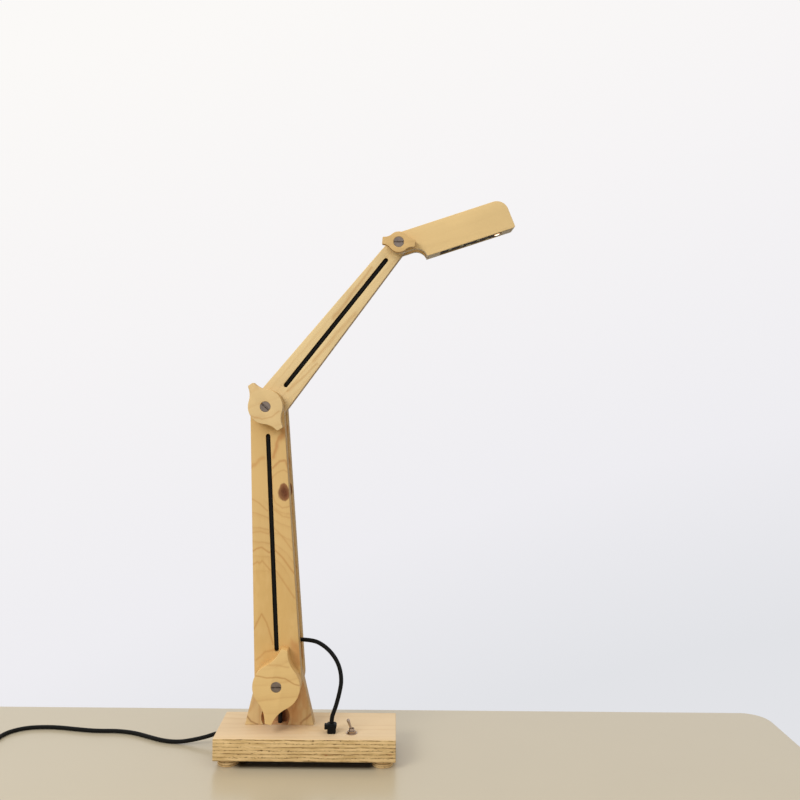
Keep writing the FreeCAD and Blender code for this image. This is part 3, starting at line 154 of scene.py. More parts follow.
class Graph:
    """A material's node tree with short calls for the nodes that finishes need."""

    def __init__(self, name: str) -> None:
        """Start an empty material of that name."""
        self.material = bpy.data.materials.new(name)
        self.material.use_nodes = True
        self.tree = self.material.node_tree
        self.tree.nodes.clear()
        self.output = self.tree.nodes.new("ShaderNodeOutputMaterial")
        self.shader = self.tree.nodes.new("ShaderNodeBsdfPrincipled")
        self.tree.links.new(self.shader.outputs[0], self.output.inputs[0])
        self.coordinates = self.tree.nodes.new("ShaderNodeTexCoord")

    def feed(self, socket: bpy.types.NodeSocket, value: object) -> None:
        """Link a socket into an input, or set the input's own value."""
        if isinstance(value, bpy.types.NodeSocket):
            self.tree.links.new(value, socket)
        else:
            socket.default_value = value

    def math(self, kind: str, first: object, second: object = 0.0, third: object = 0.0,
             clamp: bool = False) -> bpy.types.NodeSocket:
        """One Math node.

        Args:
            kind: The operation's name, such as "ADD".
            first: First input.
            second: Second input.
            third: Third input.
            clamp: Whether the result is kept between 0 and 1.

        Returns:
            The node's output.
        """
        node = self.tree.nodes.new("ShaderNodeMath")
        node.operation = kind
        node.use_clamp = clamp
        for socket, value in zip(node.inputs, (first, second, third)):
            self.feed(socket, value)
        return node.outputs[0]

    def placed(self, place: tuple[float, float, float], turn: Euler) -> bpy.types.NodeSocket:
        """Object coordinates in millimetres from a place, turned back by an Euler."""
        node = self.tree.nodes.new("ShaderNodeMapping")
        node.vector_type = "TEXTURE"
        node.inputs["Location"].default_value = [value * MM for value in place]
        node.inputs["Rotation"].default_value = turn
        node.inputs["Scale"].default_value = (MM, MM, MM)
        self.tree.links.new(self.coordinates.outputs["Object"], node.inputs["Vector"])
        return node.outputs[0]

    def stretched(self, vector: bpy.types.NodeSocket, scale: tuple[float, float, float],
                  shift: tuple[float, float, float] = (0, 0, 0)) -> bpy.types.NodeSocket:
        """A vector scaled by axis and then moved."""
        node = self.tree.nodes.new("ShaderNodeMapping")
        node.inputs["Scale"].default_value = scale
        node.inputs["Location"].default_value = shift
        self.tree.links.new(vector, node.inputs["Vector"])
        return node.outputs[0]

    def split(self, vector: bpy.types.NodeSocket) -> tuple[bpy.types.NodeSocket, ...]:
        """The x, y and z of a vector."""
        node = self.tree.nodes.new("ShaderNodeSeparateXYZ")
        self.tree.links.new(vector, node.inputs[0])
        return tuple(node.outputs)

    def noise(self, vector: bpy.types.NodeSocket, scale: float = 1.0, detail: float = 2.0,
              rough: float = 0.5) -> bpy.types.NodeSocket:
        """Smooth noise from 0 to 1 with its mean near a half."""
        node = self.tree.nodes.new("ShaderNodeTexNoise")
        node.inputs["Scale"].default_value = scale
        node.inputs["Detail"].default_value = detail
        node.inputs["Roughness"].default_value = rough
        self.tree.links.new(vector, node.inputs["Vector"])
        return node.outputs[0]

    def ramp(self, factor: bpy.types.NodeSocket,
             stops: list[tuple[float, tuple]]) -> bpy.types.NodeSocket:
        """A colour ramp with the given stops."""
        node = self.tree.nodes.new("ShaderNodeValToRGB")
        elements = node.color_ramp.elements
        while len(elements) < len(stops):
            elements.new(0.5)
        for element, (position, colour) in zip(elements, stops):
            element.position = position
            element.color = colour
        self.tree.links.new(factor, node.inputs[0])
        return node.outputs[0]

    def between(self, factor: object, low: object, high: object,
                blend: str = "MIX") -> bpy.types.NodeSocket:
        """A mix of two colours.

        Args:
            factor: Share of the second colour.
            low: First colour.
            high: Second colour.
            blend: How they are mixed.

        Returns:
            The mixed colour.
        """
        node = self.tree.nodes.new("ShaderNodeMix")
        node.data_type = "RGBA"
        node.blend_type = blend
        self.feed(node.inputs[0], factor)
        self.feed(node.inputs[6], low)
        self.feed(node.inputs[7], high)
        return node.outputs[2]

    def bump(self, height: bpy.types.NodeSocket, strength: float, distance: float) -> None:
        """Let a height in nominal units tilt the surface."""
        node = self.tree.nodes.new("ShaderNodeBump")
        node.inputs["Strength"].default_value = strength
        node.inputs["Distance"].default_value = distance
        self.tree.links.new(height, node.inputs["Height"])
        self.tree.links.new(node.outputs[0], self.shader.inputs["Normal"])

    def grey(self, value: bpy.types.NodeSocket) -> bpy.types.NodeSocket:
        """A number spread over red, green and blue."""
        node = self.tree.nodes.new("ShaderNodeCombineColor")
        for socket in node.inputs[:3]:
            self.tree.links.new(value, socket)
        return node.outputs[0]


# --- finishes --------------------------------------------------------------------------

class Facing(Enum):
    """Which object axis a board's broad faces look along."""

    DEPTH = 1
    HEIGHT = 2


@dataclass(frozen=True)
class Knot:
    """A knot in a board's face: its place, size and how far the grain bows round it."""

    across: float
    along: float
    radius: float
    push: float = 0.8
    core: float = 1.0
    colour: Colour = (124, 74, 50)


@dataclass(frozen=True)
class Streak:
    """A soft stroke of other colour along a line of (across, along) points on a face."""

    line: tuple[tuple[float, float], ...]
    width: float
    share: float
    colour: Colour


@dataclass(frozen=True)
class Layers:
    """Veneers on a board's edge: their thickness, lines, flecks and open voids."""

    pale: Colour = (214, 182, 132)
    dark: Colour = (176, 136, 88)
    thickness: float = 2.3
    line: float = 0.45
    voids: float = 0.0
    wave: float = 0.5


@dataclass(frozen=True)
class PlyWood:
    """Oiled softwood plywood: growth rings on its faces, layers on its edges.

    The rings are the level lines of the distance to a log's axis that dips under the
    face, so they close into flames; noise makes them wander, and near a knot they are
    looked up nearer to its middle, which bows them round it.
    """

    name: str
    pale: Colour
    dark: Colour
    place: tuple[float, float, float]
    turn: Euler
    facing: Facing = Facing.DEPTH
    ring: float = 5.0
    heart: float = 0.0
    depth: float = 9.0
    dip: float = 0.08
    wander: float = 5.0
    contrast: float = 0.8
    fibre: float = 0.25
    cloud: float = 0.16
    knots: tuple[Knot, ...] = ()
    streaks: tuple[Streak, ...] = ()
    layers: Layers = Layers()
    seed: float = 0.0
    calm: float = -1000.0
    quiet: float = 1000.0
    roughness: float = 0.55

    def material(self) -> bpy.types.Material:
        """Build the material.

        Returns:
            The finished material.
        """
        graph = Graph(self.name)
        local = graph.placed(self.place, self.turn)
        moved = graph.stretched(local, (1, 1, 1), (self.seed, self.seed * 0.7, self.seed * 1.3))
        across, _, along = graph.split(local)
        slow = graph.noise(graph.stretched(moved, (0.022, 0.022, 0.009)), detail=2)
        other = graph.noise(graph.stretched(moved, (0.03, 0.03, 0.012), (31, 7, 3)), detail=2)
        fine = graph.noise(graph.stretched(moved, (0.16, 0.16, 0.07)), detail=2)
        bent_across, bent_along = across, along
        for knot in self.knots:
            over, up, square = self._about(graph, knot, across, along)
            pull = graph.math("MULTIPLY", graph.math("POWER", 2.718, graph.math(
                "MULTIPLY", square, -0.12)), knot.push)
            bent_across = graph.math("SUBTRACT", bent_across, graph.math("MULTIPLY", over, pull))
            bent_along = graph.math("SUBTRACT", bent_along, graph.math("MULTIPLY", up, pull))
        side = graph.math("ADD", graph.math("SUBTRACT", bent_across, self.heart),
                          graph.math("MULTIPLY_ADD", slow, self.wander * 2, -self.wander))
        deep = graph.math("ADD", graph.math("MULTIPLY_ADD", bent_along, self.dip, self.depth),
                          graph.math("MULTIPLY_ADD", other, self.wander * 1.6,
                                     -self.wander * 0.8))
        radius = graph.math("SQRT", graph.math("ADD", graph.math("MULTIPLY", side, side),
                                               graph.math("MULTIPLY", deep, deep)))
        radius = graph.math("ADD", radius, graph.math("MULTIPLY_ADD", fine, 2.4, -1.2))
        turns = graph.math("FRACT", graph.math("DIVIDE", radius, self.ring))
        band = graph.ramp(turns, [(0.0, (0.2,) * 3 + (1,)), (0.12, (0, 0, 0, 1)),
                                  (0.6, (0.12,) * 3 + (1,)), (0.84, (0.45,) * 3 + (1,)),
                                  (0.93, (1, 1, 1, 1)), (1.0, (0.2,) * 3 + (1,))])
        vary = graph.math("MULTIPLY_ADD", other, 2.4, -0.6, clamp=True)
        vary = graph.math("MULTIPLY", vary, graph.math(
            "MULTIPLY_ADD", along, 1 / 18, -self.calm / 18, clamp=True))
        vary = graph.math("MULTIPLY", vary, graph.math(
            "MULTIPLY_ADD", along, -1 / 18, self.quiet / 18, clamp=True))
        strength = graph.math("MULTIPLY", graph.math("MULTIPLY", band, vary), self.contrast)
        threads = graph.noise(graph.stretched(moved, (1.1, 1.1, 0.03)), detail=3, rough=0.6)
        strength = graph.math("ADD", strength, graph.math(
            "MULTIPLY_ADD", threads, self.fibre, -self.fibre / 2), clamp=True)
        face = graph.between(strength, linear(self.pale), linear(self.dark))
        cloud = graph.noise(graph.stretched(moved, (0.025, 0.025, 0.016), (5, 9, 2)), detail=1)
        shade = graph.math("MULTIPLY_ADD", cloud, self.cloud, 1 - self.cloud / 2)
        face = graph.between(1.0, face, graph.grey(shade), "MULTIPLY")
        for streak in self.streaks:
            face = self._streak(graph, streak, face, across, along, fine)
        for knot in self.knots:
            _, _, square = self._about(graph, knot, across, along)
            wobble = graph.math("MULTIPLY_ADD", fine, 1.1, -0.55)
            edge = graph.math("ADD", square, wobble)
            core = graph.ramp(edge, [(0.0, (1, 1, 1, 1)), (0.72, (0.82,) * 3 + (1,)),
                                     (1.0, (0, 0, 0, 1))])
            grain = graph.noise(graph.stretched(moved, (0.9, 0.9, 0.5)), detail=2)
            deep = graph.math("MULTIPLY_ADD", square, -0.75, graph.math(
                "MULTIPLY_ADD", grain, 0.9, 0.35), clamp=True)
            tone = graph.between(deep, linear(tuple(value * 1.14 for value in knot.colour)),
                                 linear(tuple(value * 0.74 for value in knot.colour)))
            face = graph.between(graph.math("MULTIPLY", core, knot.core), face, tone)
        sheets = self._edge(graph, moved)
        tilt = graph.split(graph.coordinates.outputs["Normal"])[self.facing.value]
        is_face = graph.math("GREATER_THAN", graph.math("ABSOLUTE", tilt), 0.5)
        colour = graph.between(is_face, sheets, face)
        graph.feed(graph.shader.inputs["Base Color"], colour)
        rough = graph.math("MULTIPLY_ADD", threads, 0.16, self.roughness - 0.08)
        graph.feed(graph.shader.inputs["Roughness"], rough)
        graph.shader.inputs["Specular IOR Level"].default_value = 0.12
        height = graph.math("ADD", threads, graph.math("MULTIPLY", band, -0.35))
        graph.bump(height, 0.25, 0.0003)
        return graph.material

    @staticmethod
    def _about(graph: Graph, knot: Knot, across: bpy.types.NodeSocket,
               along: bpy.types.NodeSocket) -> tuple[bpy.types.NodeSocket, ...]:
        """Offsets from a knot's middle, and their squared share of its radius."""
        over = graph.math("SUBTRACT", across, knot.across)
        up = graph.math("SUBTRACT", along, knot.along)
        wide = graph.math("DIVIDE", over, knot.radius)
        tall = graph.math("DIVIDE", up, knot.radius * 1.4)
        square = graph.math("ADD", graph.math("MULTIPLY", wide, wide),
                            graph.math("MULTIPLY", tall, tall))
        return over, up, square

    @staticmethod
    def _streak(graph: Graph, streak: Streak, face: bpy.types.NodeSocket,
                across: bpy.types.NodeSocket, along: bpy.types.NodeSocket,
                fine: bpy.types.NodeSocket) -> bpy.types.NodeSocket:
        """Lay a streak over a face.

        Its share is e to the power of minus the squared distance to the nearest of its
        segments, in widths; noise shifts the place first, so that the stroke wanders.
        """
        shift = graph.math("MULTIPLY_ADD", fine, streak.width * 2.4, -streak.width * 1.2)
        across = graph.math("ADD", across, shift)
        along = graph.math("SUBTRACT", along, shift)
        nearest: object = 1e6
        for start, stop in zip(streak.line[:-1], streak.line[1:]):
            run = (stop[0] - start[0], stop[1] - start[1])
            square = run[0] ** 2 + run[1] ** 2
            over = graph.math("SUBTRACT", across, start[0])
            up = graph.math("SUBTRACT", along, start[1])
            ahead = graph.math("MULTIPLY_ADD", over, run[0] / square, graph.math(
                "MULTIPLY", up, run[1] / square), clamp=True)
            over = graph.math("SUBTRACT", over, graph.math("MULTIPLY", ahead, run[0]))
            up = graph.math("SUBTRACT", up, graph.math("MULTIPLY", ahead, run[1]))
            far = graph.math("MULTIPLY_ADD", over, over, graph.math("MULTIPLY", up, up))
            nearest = graph.math("MINIMUM", nearest, far)
        share = graph.math("MULTIPLY", graph.math("POWER", 2.718, graph.math(
            "MULTIPLY", nearest, -1.0 / streak.width ** 2)), streak.share)
        return graph.between(share, face, linear(streak.colour))

    def _edge(self, graph: Graph, moved: bpy.types.NodeSocket) -> bpy.types.NodeSocket:
        """Layers of veneer on a board's edge, with thin broken lines between them.

        Args:
            graph: The material being built.
            moved: Board coordinates.

        Returns:
            The edge's colour.
        """
        layers = self.layers
        _, layer, _ = graph.split(moved)
        wave = graph.noise(graph.stretched(moved, (0.03, 0.12, 0.03), (3, 3, 8)), detail=3,
                           rough=0.6)
        height = graph.math("ADD", layer, graph.math("MULTIPLY_ADD", wave, layers.wave * 6,
                                                     -layers.wave * 3))
        share = graph.math("DIVIDE", height, layers.thickness)
        number = graph.math("ROUND", share)
        away = graph.math("ABSOLUTE", graph.math("SUBTRACT", share, number))
        odd = graph.math("ABSOLUTE", graph.math("MODULO", number, 2.0))
        line = graph.math("MULTIPLY_ADD", away, -layers.thickness / 0.8, 1.0, clamp=True)
        long = graph.noise(graph.stretched(moved, (0.09, 0.5, 0.09), (7, 1, 4)), detail=3)
        short = graph.noise(graph.stretched(moved, (0.4, 0.9, 0.4), (9, 2, 5)), detail=2)
        long = graph.math("MULTIPLY_ADD", long, 5.0, -1.7, clamp=True)
        short = graph.math("MULTIPLY_ADD", short, 9.0, -4.4, clamp=True)
        drawn = graph.math("MAXIMUM", graph.math("MULTIPLY", long, graph.math(
            "MULTIPLY_ADD", odd, 0.45, 0.55)), graph.math(
                "MULTIPLY", short, graph.math("MULTIPLY_ADD", odd, -0.7, 1.0)))
        fleck = graph.noise(graph.stretched(moved, (0.3, 1.6, 0.3), (1, 6, 4)), detail=3)
        shade = graph.noise(graph.stretched(moved, (0.05, 0.45, 0.05), (4, 8, 2)), detail=1)
        tone = graph.math("ADD", graph.math("MULTIPLY_ADD", shade, 2.2, -0.7),
                          graph.math("MULTIPLY_ADD", fleck, 1.4, -0.7), clamp=True)
        colour = graph.between(tone, linear(layers.pale), linear(layers.dark))
        ink = linear(tuple(value * share for value, share in zip(layers.dark,
                                                                 (0.54, 0.45, 0.31))))
        stroke = graph.math("MULTIPLY", graph.math("MULTIPLY", line, drawn), layers.line,
                            clamp=True)
        colour = graph.between(stroke, colour, ink)
        if layers.voids > 0:
            spots = graph.noise(graph.stretched(moved, (0.3, 0.6, 0.3), (2, 4, 6)), detail=1)
            hollow = graph.math("MULTIPLY_ADD", spots, 16.0, -10.9 + 0.4 * layers.voids,
                                clamp=True)
            hollow = graph.math("MULTIPLY", hollow, graph.math("MULTIPLY_ADD", away, -2.2, 1.0,
                                                               clamp=True))
            rust = graph.math("GREATER_THAN", shade, 0.62)
            colour = graph.between(hollow, colour, graph.between(
                rust, linear((84, 56, 28)), linear((156, 84, 52))))
        return colour


@dataclass(frozen=True)
class Metal:
    """Plated or blackened metal with fine turning marks."""

    name: str
    colour: Colour
    roughness: float = 0.35
    metallic: float = 1.0
    grain: float = 1.0

    def material(self) -> bpy.types.Material:
        """Build the material.

        Returns:
            The finished material.
        """
        graph = Graph(self.name)
        local = graph.placed((0, 0, 0), Euler((0, 0, 0)))
        marks = graph.noise(graph.stretched(local, (2.2 * self.grain, 6.0, 2.2 * self.grain)),
                            detail=3)
        dull = graph.noise(graph.stretched(local, (0.35, 0.35, 0.35)), detail=2)
        low = tuple(value * 0.72 for value in self.colour)
        graph.feed(graph.shader.inputs["Base Color"],
                   graph.between(dull, linear(self.colour), linear(low)))
        graph.feed(graph.shader.inputs["Roughness"],
                   graph.math("MULTIPLY_ADD", marks, 0.22, self.roughness - 0.1))
        graph.shader.inputs["Metallic"].default_value = self.metallic
        graph.bump(marks, 0.12, 0.0001)
        return graph.material


@dataclass(frozen=True)
class Jacket:
    """Rubber or moulded plastic: a fine matt skin with faint dust."""

    name: str
    colour: Colour
    roughness: float = 0.55
    skin: float = 1.6
    gloss: float = 0.35

    def material(self) -> bpy.types.Material:
        """Build the material.

        Returns:
            The finished material.
        """
        graph = Graph(self.name)
        local = graph.placed((0, 0, 0), Euler((0, 0, 0)))
        skin = graph.noise(local, scale=self.skin, detail=3)
        dust = graph.noise(local, scale=0.12, detail=2)
        lighter = tuple(min(255, value * 1.35 + 6) for value in self.colour)
        graph.feed(graph.shader.inputs["Base Color"],
                   graph.between(dust, linear(self.colour), linear(lighter)))
        graph.feed(graph.shader.inputs["Roughness"],
                   graph.math("MULTIPLY_ADD", skin, 0.18, self.roughness - 0.09))
        graph.shader.inputs["Specular IOR Level"].default_value = self.gloss
        graph.bump(skin, 0.18, 0.00012)
        return graph.material


@dataclass(frozen=True)
class Glow:
    """A lit lens: white in its middle and warmer towards its rim."""

    name: str
    middle: Colour
    rim: Colour
    place: tuple[float, float, float]
    turn: Euler
    radius: float
    strength: float

    def material(self) -> bpy.types.Material:
        """Build the material.

        Returns:
            The finished material.
        """
        graph = Graph(self.name)
        _, beside, ahead = graph.split(graph.placed(self.place, self.turn))
        far = graph.math("SQRT", graph.math("MULTIPLY_ADD", beside, beside, graph.math(
            "MULTIPLY", ahead, ahead)))
        share = graph.math("MULTIPLY_ADD", far, 4.0 / self.radius, -3.0, clamp=True)
        colour = graph.between(share, linear(self.middle), linear(self.rim))
        graph.feed(graph.shader.inputs["Base Color"], colour)
        graph.feed(graph.shader.inputs["Emission Color"], colour)
        graph.shader.inputs["Emission Strength"].default_value = self.strength
        graph.shader.inputs["Roughness"].default_value = 0.15
        return graph.material


def board_turn(angle: float) -> Euler:
    """Turn of a board whose length starts upright and leans to an angle from level."""
    return Euler((0, -math.radians(angle - 90), 0))


LYING = Matrix(((0, 0, 1), (1, 0, 0), (0, 1, 0))).to_euler()


class Finish(Enum):
    """Every finish of the lamp."""

    BASE = PlyWood("base_plywood", (224, 198, 160), (202, 166, 120), (-62.8, 0, 20), LYING,
                   Facing.HEIGHT, ring=8, heart=12, depth=16, dip=0.05, wander=7,
                   contrast=0.4, seed=11, roughness=0.6,
                   # first streak: painted shade and warm reflected light, a darker tan patch on
                   # the top between the post and the clamp
                   streaks=(Streak(((-12, -6), (-10, 22)), 13.0, 0.4, (212, 176, 122)),
                            Streak(((-37, -90), (-36, 90)), 5.0, 0.35, (222, 190, 140))),
                   layers=Layers((232, 200, 146), (202, 170, 115), 3.7, 1.0, 1.0, 0.6))
    FOOT = PlyWood("foot_wood", (226, 194, 144), (188, 146, 98), (-62.8, 0, 4), LYING,
                   Facing.HEIGHT, ring=4, heart=30, depth=20, seed=3,
                   layers=Layers((232, 202, 150), (200, 164, 112), 2.6, 0.9, 0.7, 0.3))
    POST = PlyWood("post_wood", (222, 194, 142), (186, 142, 90), (-94.3, 0, 83.5),
                   Euler((0, 0, 0)), ring=15, heart=30, depth=14, dip=0.3, wander=9,
                   contrast=0.45, seed=21, cloud=0.2,
                   knots=(Knot(-4.4, -43, 15.0, 0.7, 0.0),),
                   streaks=(Streak(((-35.5, -42), (-31, -48), (-24, -50.8)), 0.9, 0.7,
                                   (146, 100, 62)),
                            Streak(((-34, -36), (-30, -31), (-26, -22)), 2.2, 0.3,
                                   (190, 134, 84)),
                            Streak(((23.5, -49), (30, -43.5), (34.4, -38.8)), 1.1, 0.65,
                                   (150, 100, 62)),
                            # painted shadow: a broad, darker and warmer stroke on the post's
                            # right part, where the lower knob's shadow falls
                            Streak(((15, -40), (22, -22), (25, -6)), 11.0, 0.6,
                                   (208, 148, 94)),
                            Streak(((16, -36), (22, -18)), 1.6, 0.3, (176, 116, 70)),
                            Streak(((-4.4, -43), (-4.4, -44)), 16.0, 0.4, (190, 138, 92))))
    ARCH = PlyWood("post_arch_wood", (232, 184, 132), (196, 142, 96), (-94.3, 0, 83.5),
                   Euler((0, 0, 0)), ring=6, heart=2, depth=2, dip=0.4, wander=5,
                   contrast=0.5, seed=23, cloud=0.3,
                   # the lining darkens along a broad stroke right of the bolt
                   streaks=(Streak(((1, -34), (3, -52)), 8.0, 0.92, (104, 62, 44)),),
                   layers=Layers((236, 190, 136), (206, 154, 104), 2.3, 0.5))
    LOWER = PlyWood("lower_arm_wood", (224, 188, 127), (184, 126, 68), (-94.3, 0, 83.5),
                    board_turn(92.8), ring=9.3, heart=-14, depth=-34, dip=0.58, wander=4,
                    contrast=0.55, seed=5, cloud=0.14, calm=108, quiet=204,
                    layers=Layers((208, 174, 116), (178, 138, 84), 2.3, 0.4),
                    knots=(Knot(14.4, 205.9, 7.1, 0.8), Knot(9, 262, 5.0, 0.4, 0.0)),
                    streaks=(Streak(((0, 20), (0, 104)), 30.0, 0.45, (206, 164, 96)),
                             Streak(((18, 276), (15.5, 268), (8, 256), (4.5, 246)), 2.6, 0.55,
                                    (184, 116, 60)),
                             Streak(((3.9, 233.1), (11, 240.5), (17.3, 241.2), (20.2, 232.3)),
                                    1.3, 0.5, (180, 114, 60)),
                             Streak(((-18.8, 234.3), (-11, 242), (-5.4, 244.3)), 1.8, 0.45,
                                    (196, 136, 74)),
                             Streak(((-24, 59), (-19, 68), (-14.4, 75), (-10, 66), (-6.5, 54),
                                     (-3.7, 42)), 0.9, 0.5, (184, 126, 66)),
                             Streak(((-23, 26), (-12, 34), (0, 37)), 1.1, 0.35,
                                    (184, 126, 66)),
                             Streak(((20, 40), (24, 20)), 5.0, 0.5, (188, 122, 68)),
                             Streak(((-21, 201), (-13, 196), (-4, 187)), 0.9, 0.4,
                                    (188, 132, 72)),
                             Streak(((-23, 143), (-17.7, 146.5), (-11.4, 147.3), (-4, 141.6),
                                     (2.6, 144), (10.4, 135.6), (21.9, 118.3)), 1.0, 0.55,
                                    (186, 128, 68)),
                             Streak(((-23.6, 129), (-17, 132), (-14.8, 130), (-11.5, 132.7),
                                     (-3.7, 122.6), (3, 121), (9.4, 111.2), (21.6, 91.1)),
                                    1.0, 0.45, (190, 134, 74)),
                             Streak(((-22, 164), (-13, 165), (-4, 162), (2, 168.5),
                                     (10, 160), (21.5, 142.7)), 0.9, 0.35, (190, 134, 74)),
                             Streak(((3, 223), (1.6, 206.6), (4.6, 195.6), (12.5, 189.3),
                                     (21.3, 190.6)), 0.9, 0.4, (194, 140, 82)),
                             Streak(((3.8, 188), (12.2, 180.3), (22, 178)), 0.9, 0.35,
                                    (194, 140, 82)),
                             Streak(((3, 222.8), (8.7, 228), (15.6, 230.5), (20, 228)), 0.9,
                                    0.35, (194, 140, 82))))
    UPPER = PlyWood("upper_arm_wood", (235, 208, 156), (206, 164, 106), (-108.955, 0, 383.142),
                    board_turn(51.8), ring=6, heart=30, depth=22, dip=0.06, wander=5,
                    contrast=0.5, seed=8, fibre=0.4,
                    streaks=(Streak(((-5, 120), (-7, 190)), 1.8, 0.45, (190, 138, 78)),
                             Streak(((7, 70), (10, 140)), 2.2, 0.35, (196, 148, 90)),
                             Streak(((6, 26), (12, 70)), 1.4, 0.4, (190, 140, 82))))
    HEAD = PlyWood("head_wood", (236, 204, 146), (218, 180, 120), (32.66, 0, 563.1),
                   board_turn(18.6), ring=7, heart=-40, depth=30, dip=0.02, wander=6,
                   contrast=0.1, fibre=0.14, seed=14,
                   # edge layers pale and greyish: partly the ply's own edge colour, partly
                   # painted light for the bounce that lights the head's underside
                   layers=Layers((238, 224, 196), (214, 196, 164), 2.6, 0.3))
    LOWER_KNOB = PlyWood("lower_knob_wood", (229, 194, 132), (190, 136, 78), (-94.3, 0, 83.5),
                         Euler((0, math.radians(84), 0)), ring=17, heart=-36, depth=8,
                         dip=0.3, wander=13, contrast=0.4, seed=33,
                         streaks=(Streak(((-14.8, -21), (-11.1, -9.7), (-10.5, 1),
                                          (-8.3, 10.4), (-1.8, 19.5), (0.4, 25)), 0.8, 0.6,
                                         (182, 126, 68)),
                                  Streak(((-24, -18), (-25.5, -8), (-23, 6), (-20, 15)), 1.2,
                                         0.35, (190, 138, 80))),
                         layers=Layers((226, 186, 120), (206, 160, 96), 4, 0.0))
    ELBOW_KNOB = PlyWood("elbow_knob_wood", (227, 197, 144), (208, 164, 110),
                         (-108.955, 0, 383.142), Euler((0, math.radians(70), 0)), ring=14,
                         heart=-30, depth=10, dip=0.06, wander=9, contrast=0.35, seed=41,
                         streaks=(Streak(((4, -18.6), (11.3, -7.6), (12.8, 3.2), (9.2, 12.4)),
                                         0.9, 0.4, (190, 138, 82)),),
                         layers=Layers((220, 184, 124), (200, 156, 98), 4, 0.0))
    HEAD_KNOB = PlyWood("head_knob_wood", (222, 186, 128), (200, 158, 100), (32.66, 0, 563.1),
                        Euler((0, math.radians(80), 0)), ring=8, heart=-20, depth=10,
                        wander=6, contrast=0.4, seed=52,
                        layers=Layers((214, 180, 130), (192, 150, 100), 4, 0.0))
    SCREW = Metal("dull_zinc_screw", (160, 146, 136), 0.42, grain=2.0)
    STEEL = Metal("plated_steel", (176, 172, 166), 0.34)
    NICKEL = Metal("nickel_plate", (200, 178, 158), 0.2)
    BLACK_BOLT = Metal("blackened_bolt", (34, 30, 28), 0.5, 0.7)
    BLACK_BAR = Metal("black_anodised_bar", (34, 30, 28), 0.55, 0.5)
    CABLE = Jacket("cable_jacket", (9, 9, 8), 0.6, gloss=0.16)
    PLASTIC = Jacket("black_moulding", (9, 10, 9), 0.55, gloss=0.14)
    CIRCUIT = Jacket("dark_circuit_board", (46, 38, 28), 0.75, gloss=0.06)
    CHIP = Jacket("pale_chips", (190, 190, 160), 0.6, gloss=0.1)
    LENS = Glow("lit_lens", (255, 248, 232), (238, 172, 106), (141.75, 7.5, 576.3),
                board_turn(18.6), 3.2, 1.5)


BUILT: dict[Finish, bpy.types.Material] = {}


def finish(which: Finish) -> bpy.types.Material:
    """The material of a finish, built once."""
    if which not in BUILT:
        BUILT[which] = which.value.material()
    return BUILT[which]


# --- surfaces --------------------------------------------------------------------------

def arc(centre: tuple[float, float], radius: float, start: float, stop: float,
        step: float = 6.0) -> np.ndarray:
    """Points of a circle's arc: centre plus radius times (cos, sin) of the angle.

    Args:
        centre: The circle's centre.
        radius: Its radius.
        start: First angle in degrees.
        stop: Last angle in degrees; below start the arc turns clockwise.
        step: Largest angle between two points.

    Returns:
        The points, both ends included.
    """
    count = max(2, int(abs(stop - start) / step) + 2)
    angle = np.radians(np.linspace(start, stop, count))
    return np.stack([centre[0] + radius * np.cos(angle), centre[1] + radius * np.sin(angle)], 1)


def joined(*runs: np.ndarray) -> np.ndarray:
    """One closed outline out of several runs, without doubled points."""
    points = np.concatenate([np.atleast_2d(run) for run in runs])
    step = np.linalg.norm(points - np.roll(points, 1, axis=0), axis=1)
    return points[step > 1e-4]


def inset(points: np.ndarray, distance: float) -> np.ndarray:
    """Move a closed outline to the left of its walk by a distance, mitred at its corners.

    Args:
        points: The outline.
        distance: How far each side moves.

    Returns:
        The moved outline, with as many points.
    """
    onward = np.roll(points, -1, axis=0) - points
    onward /= np.linalg.norm(onward, axis=1, keepdims=True)
    before = np.roll(onward, 1, axis=0)
    left = np.stack([-onward[:, 1], onward[:, 0]], 1)
    left_before = np.stack([-before[:, 1], before[:, 0]], 1)
    share = 1 + np.sum(left * left_before, axis=1, keepdims=True)
    return points + distance * (left + left_before) / np.maximum(share, 0.35)


def ring_faces(rings: int, around: int, first: int = 0) -> np.ndarray:
    """Quads between rings of points that close on themselves.

    Args:
        rings: Number of rings.
        around: Points in a ring.
        first: Index of the first point.

    Returns:
        An array of four indices per face.
    """
    row, column = np.meshgrid(np.arange(rings - 1), np.arange(around), indexing="ij")
    beside = (column + 1) % around
    faces = np.stack([row * around + column, row * around + beside,
                      (row + 1) * around + beside, (row + 1) * around + column], -1)
    return faces.reshape(-1, 4) + first


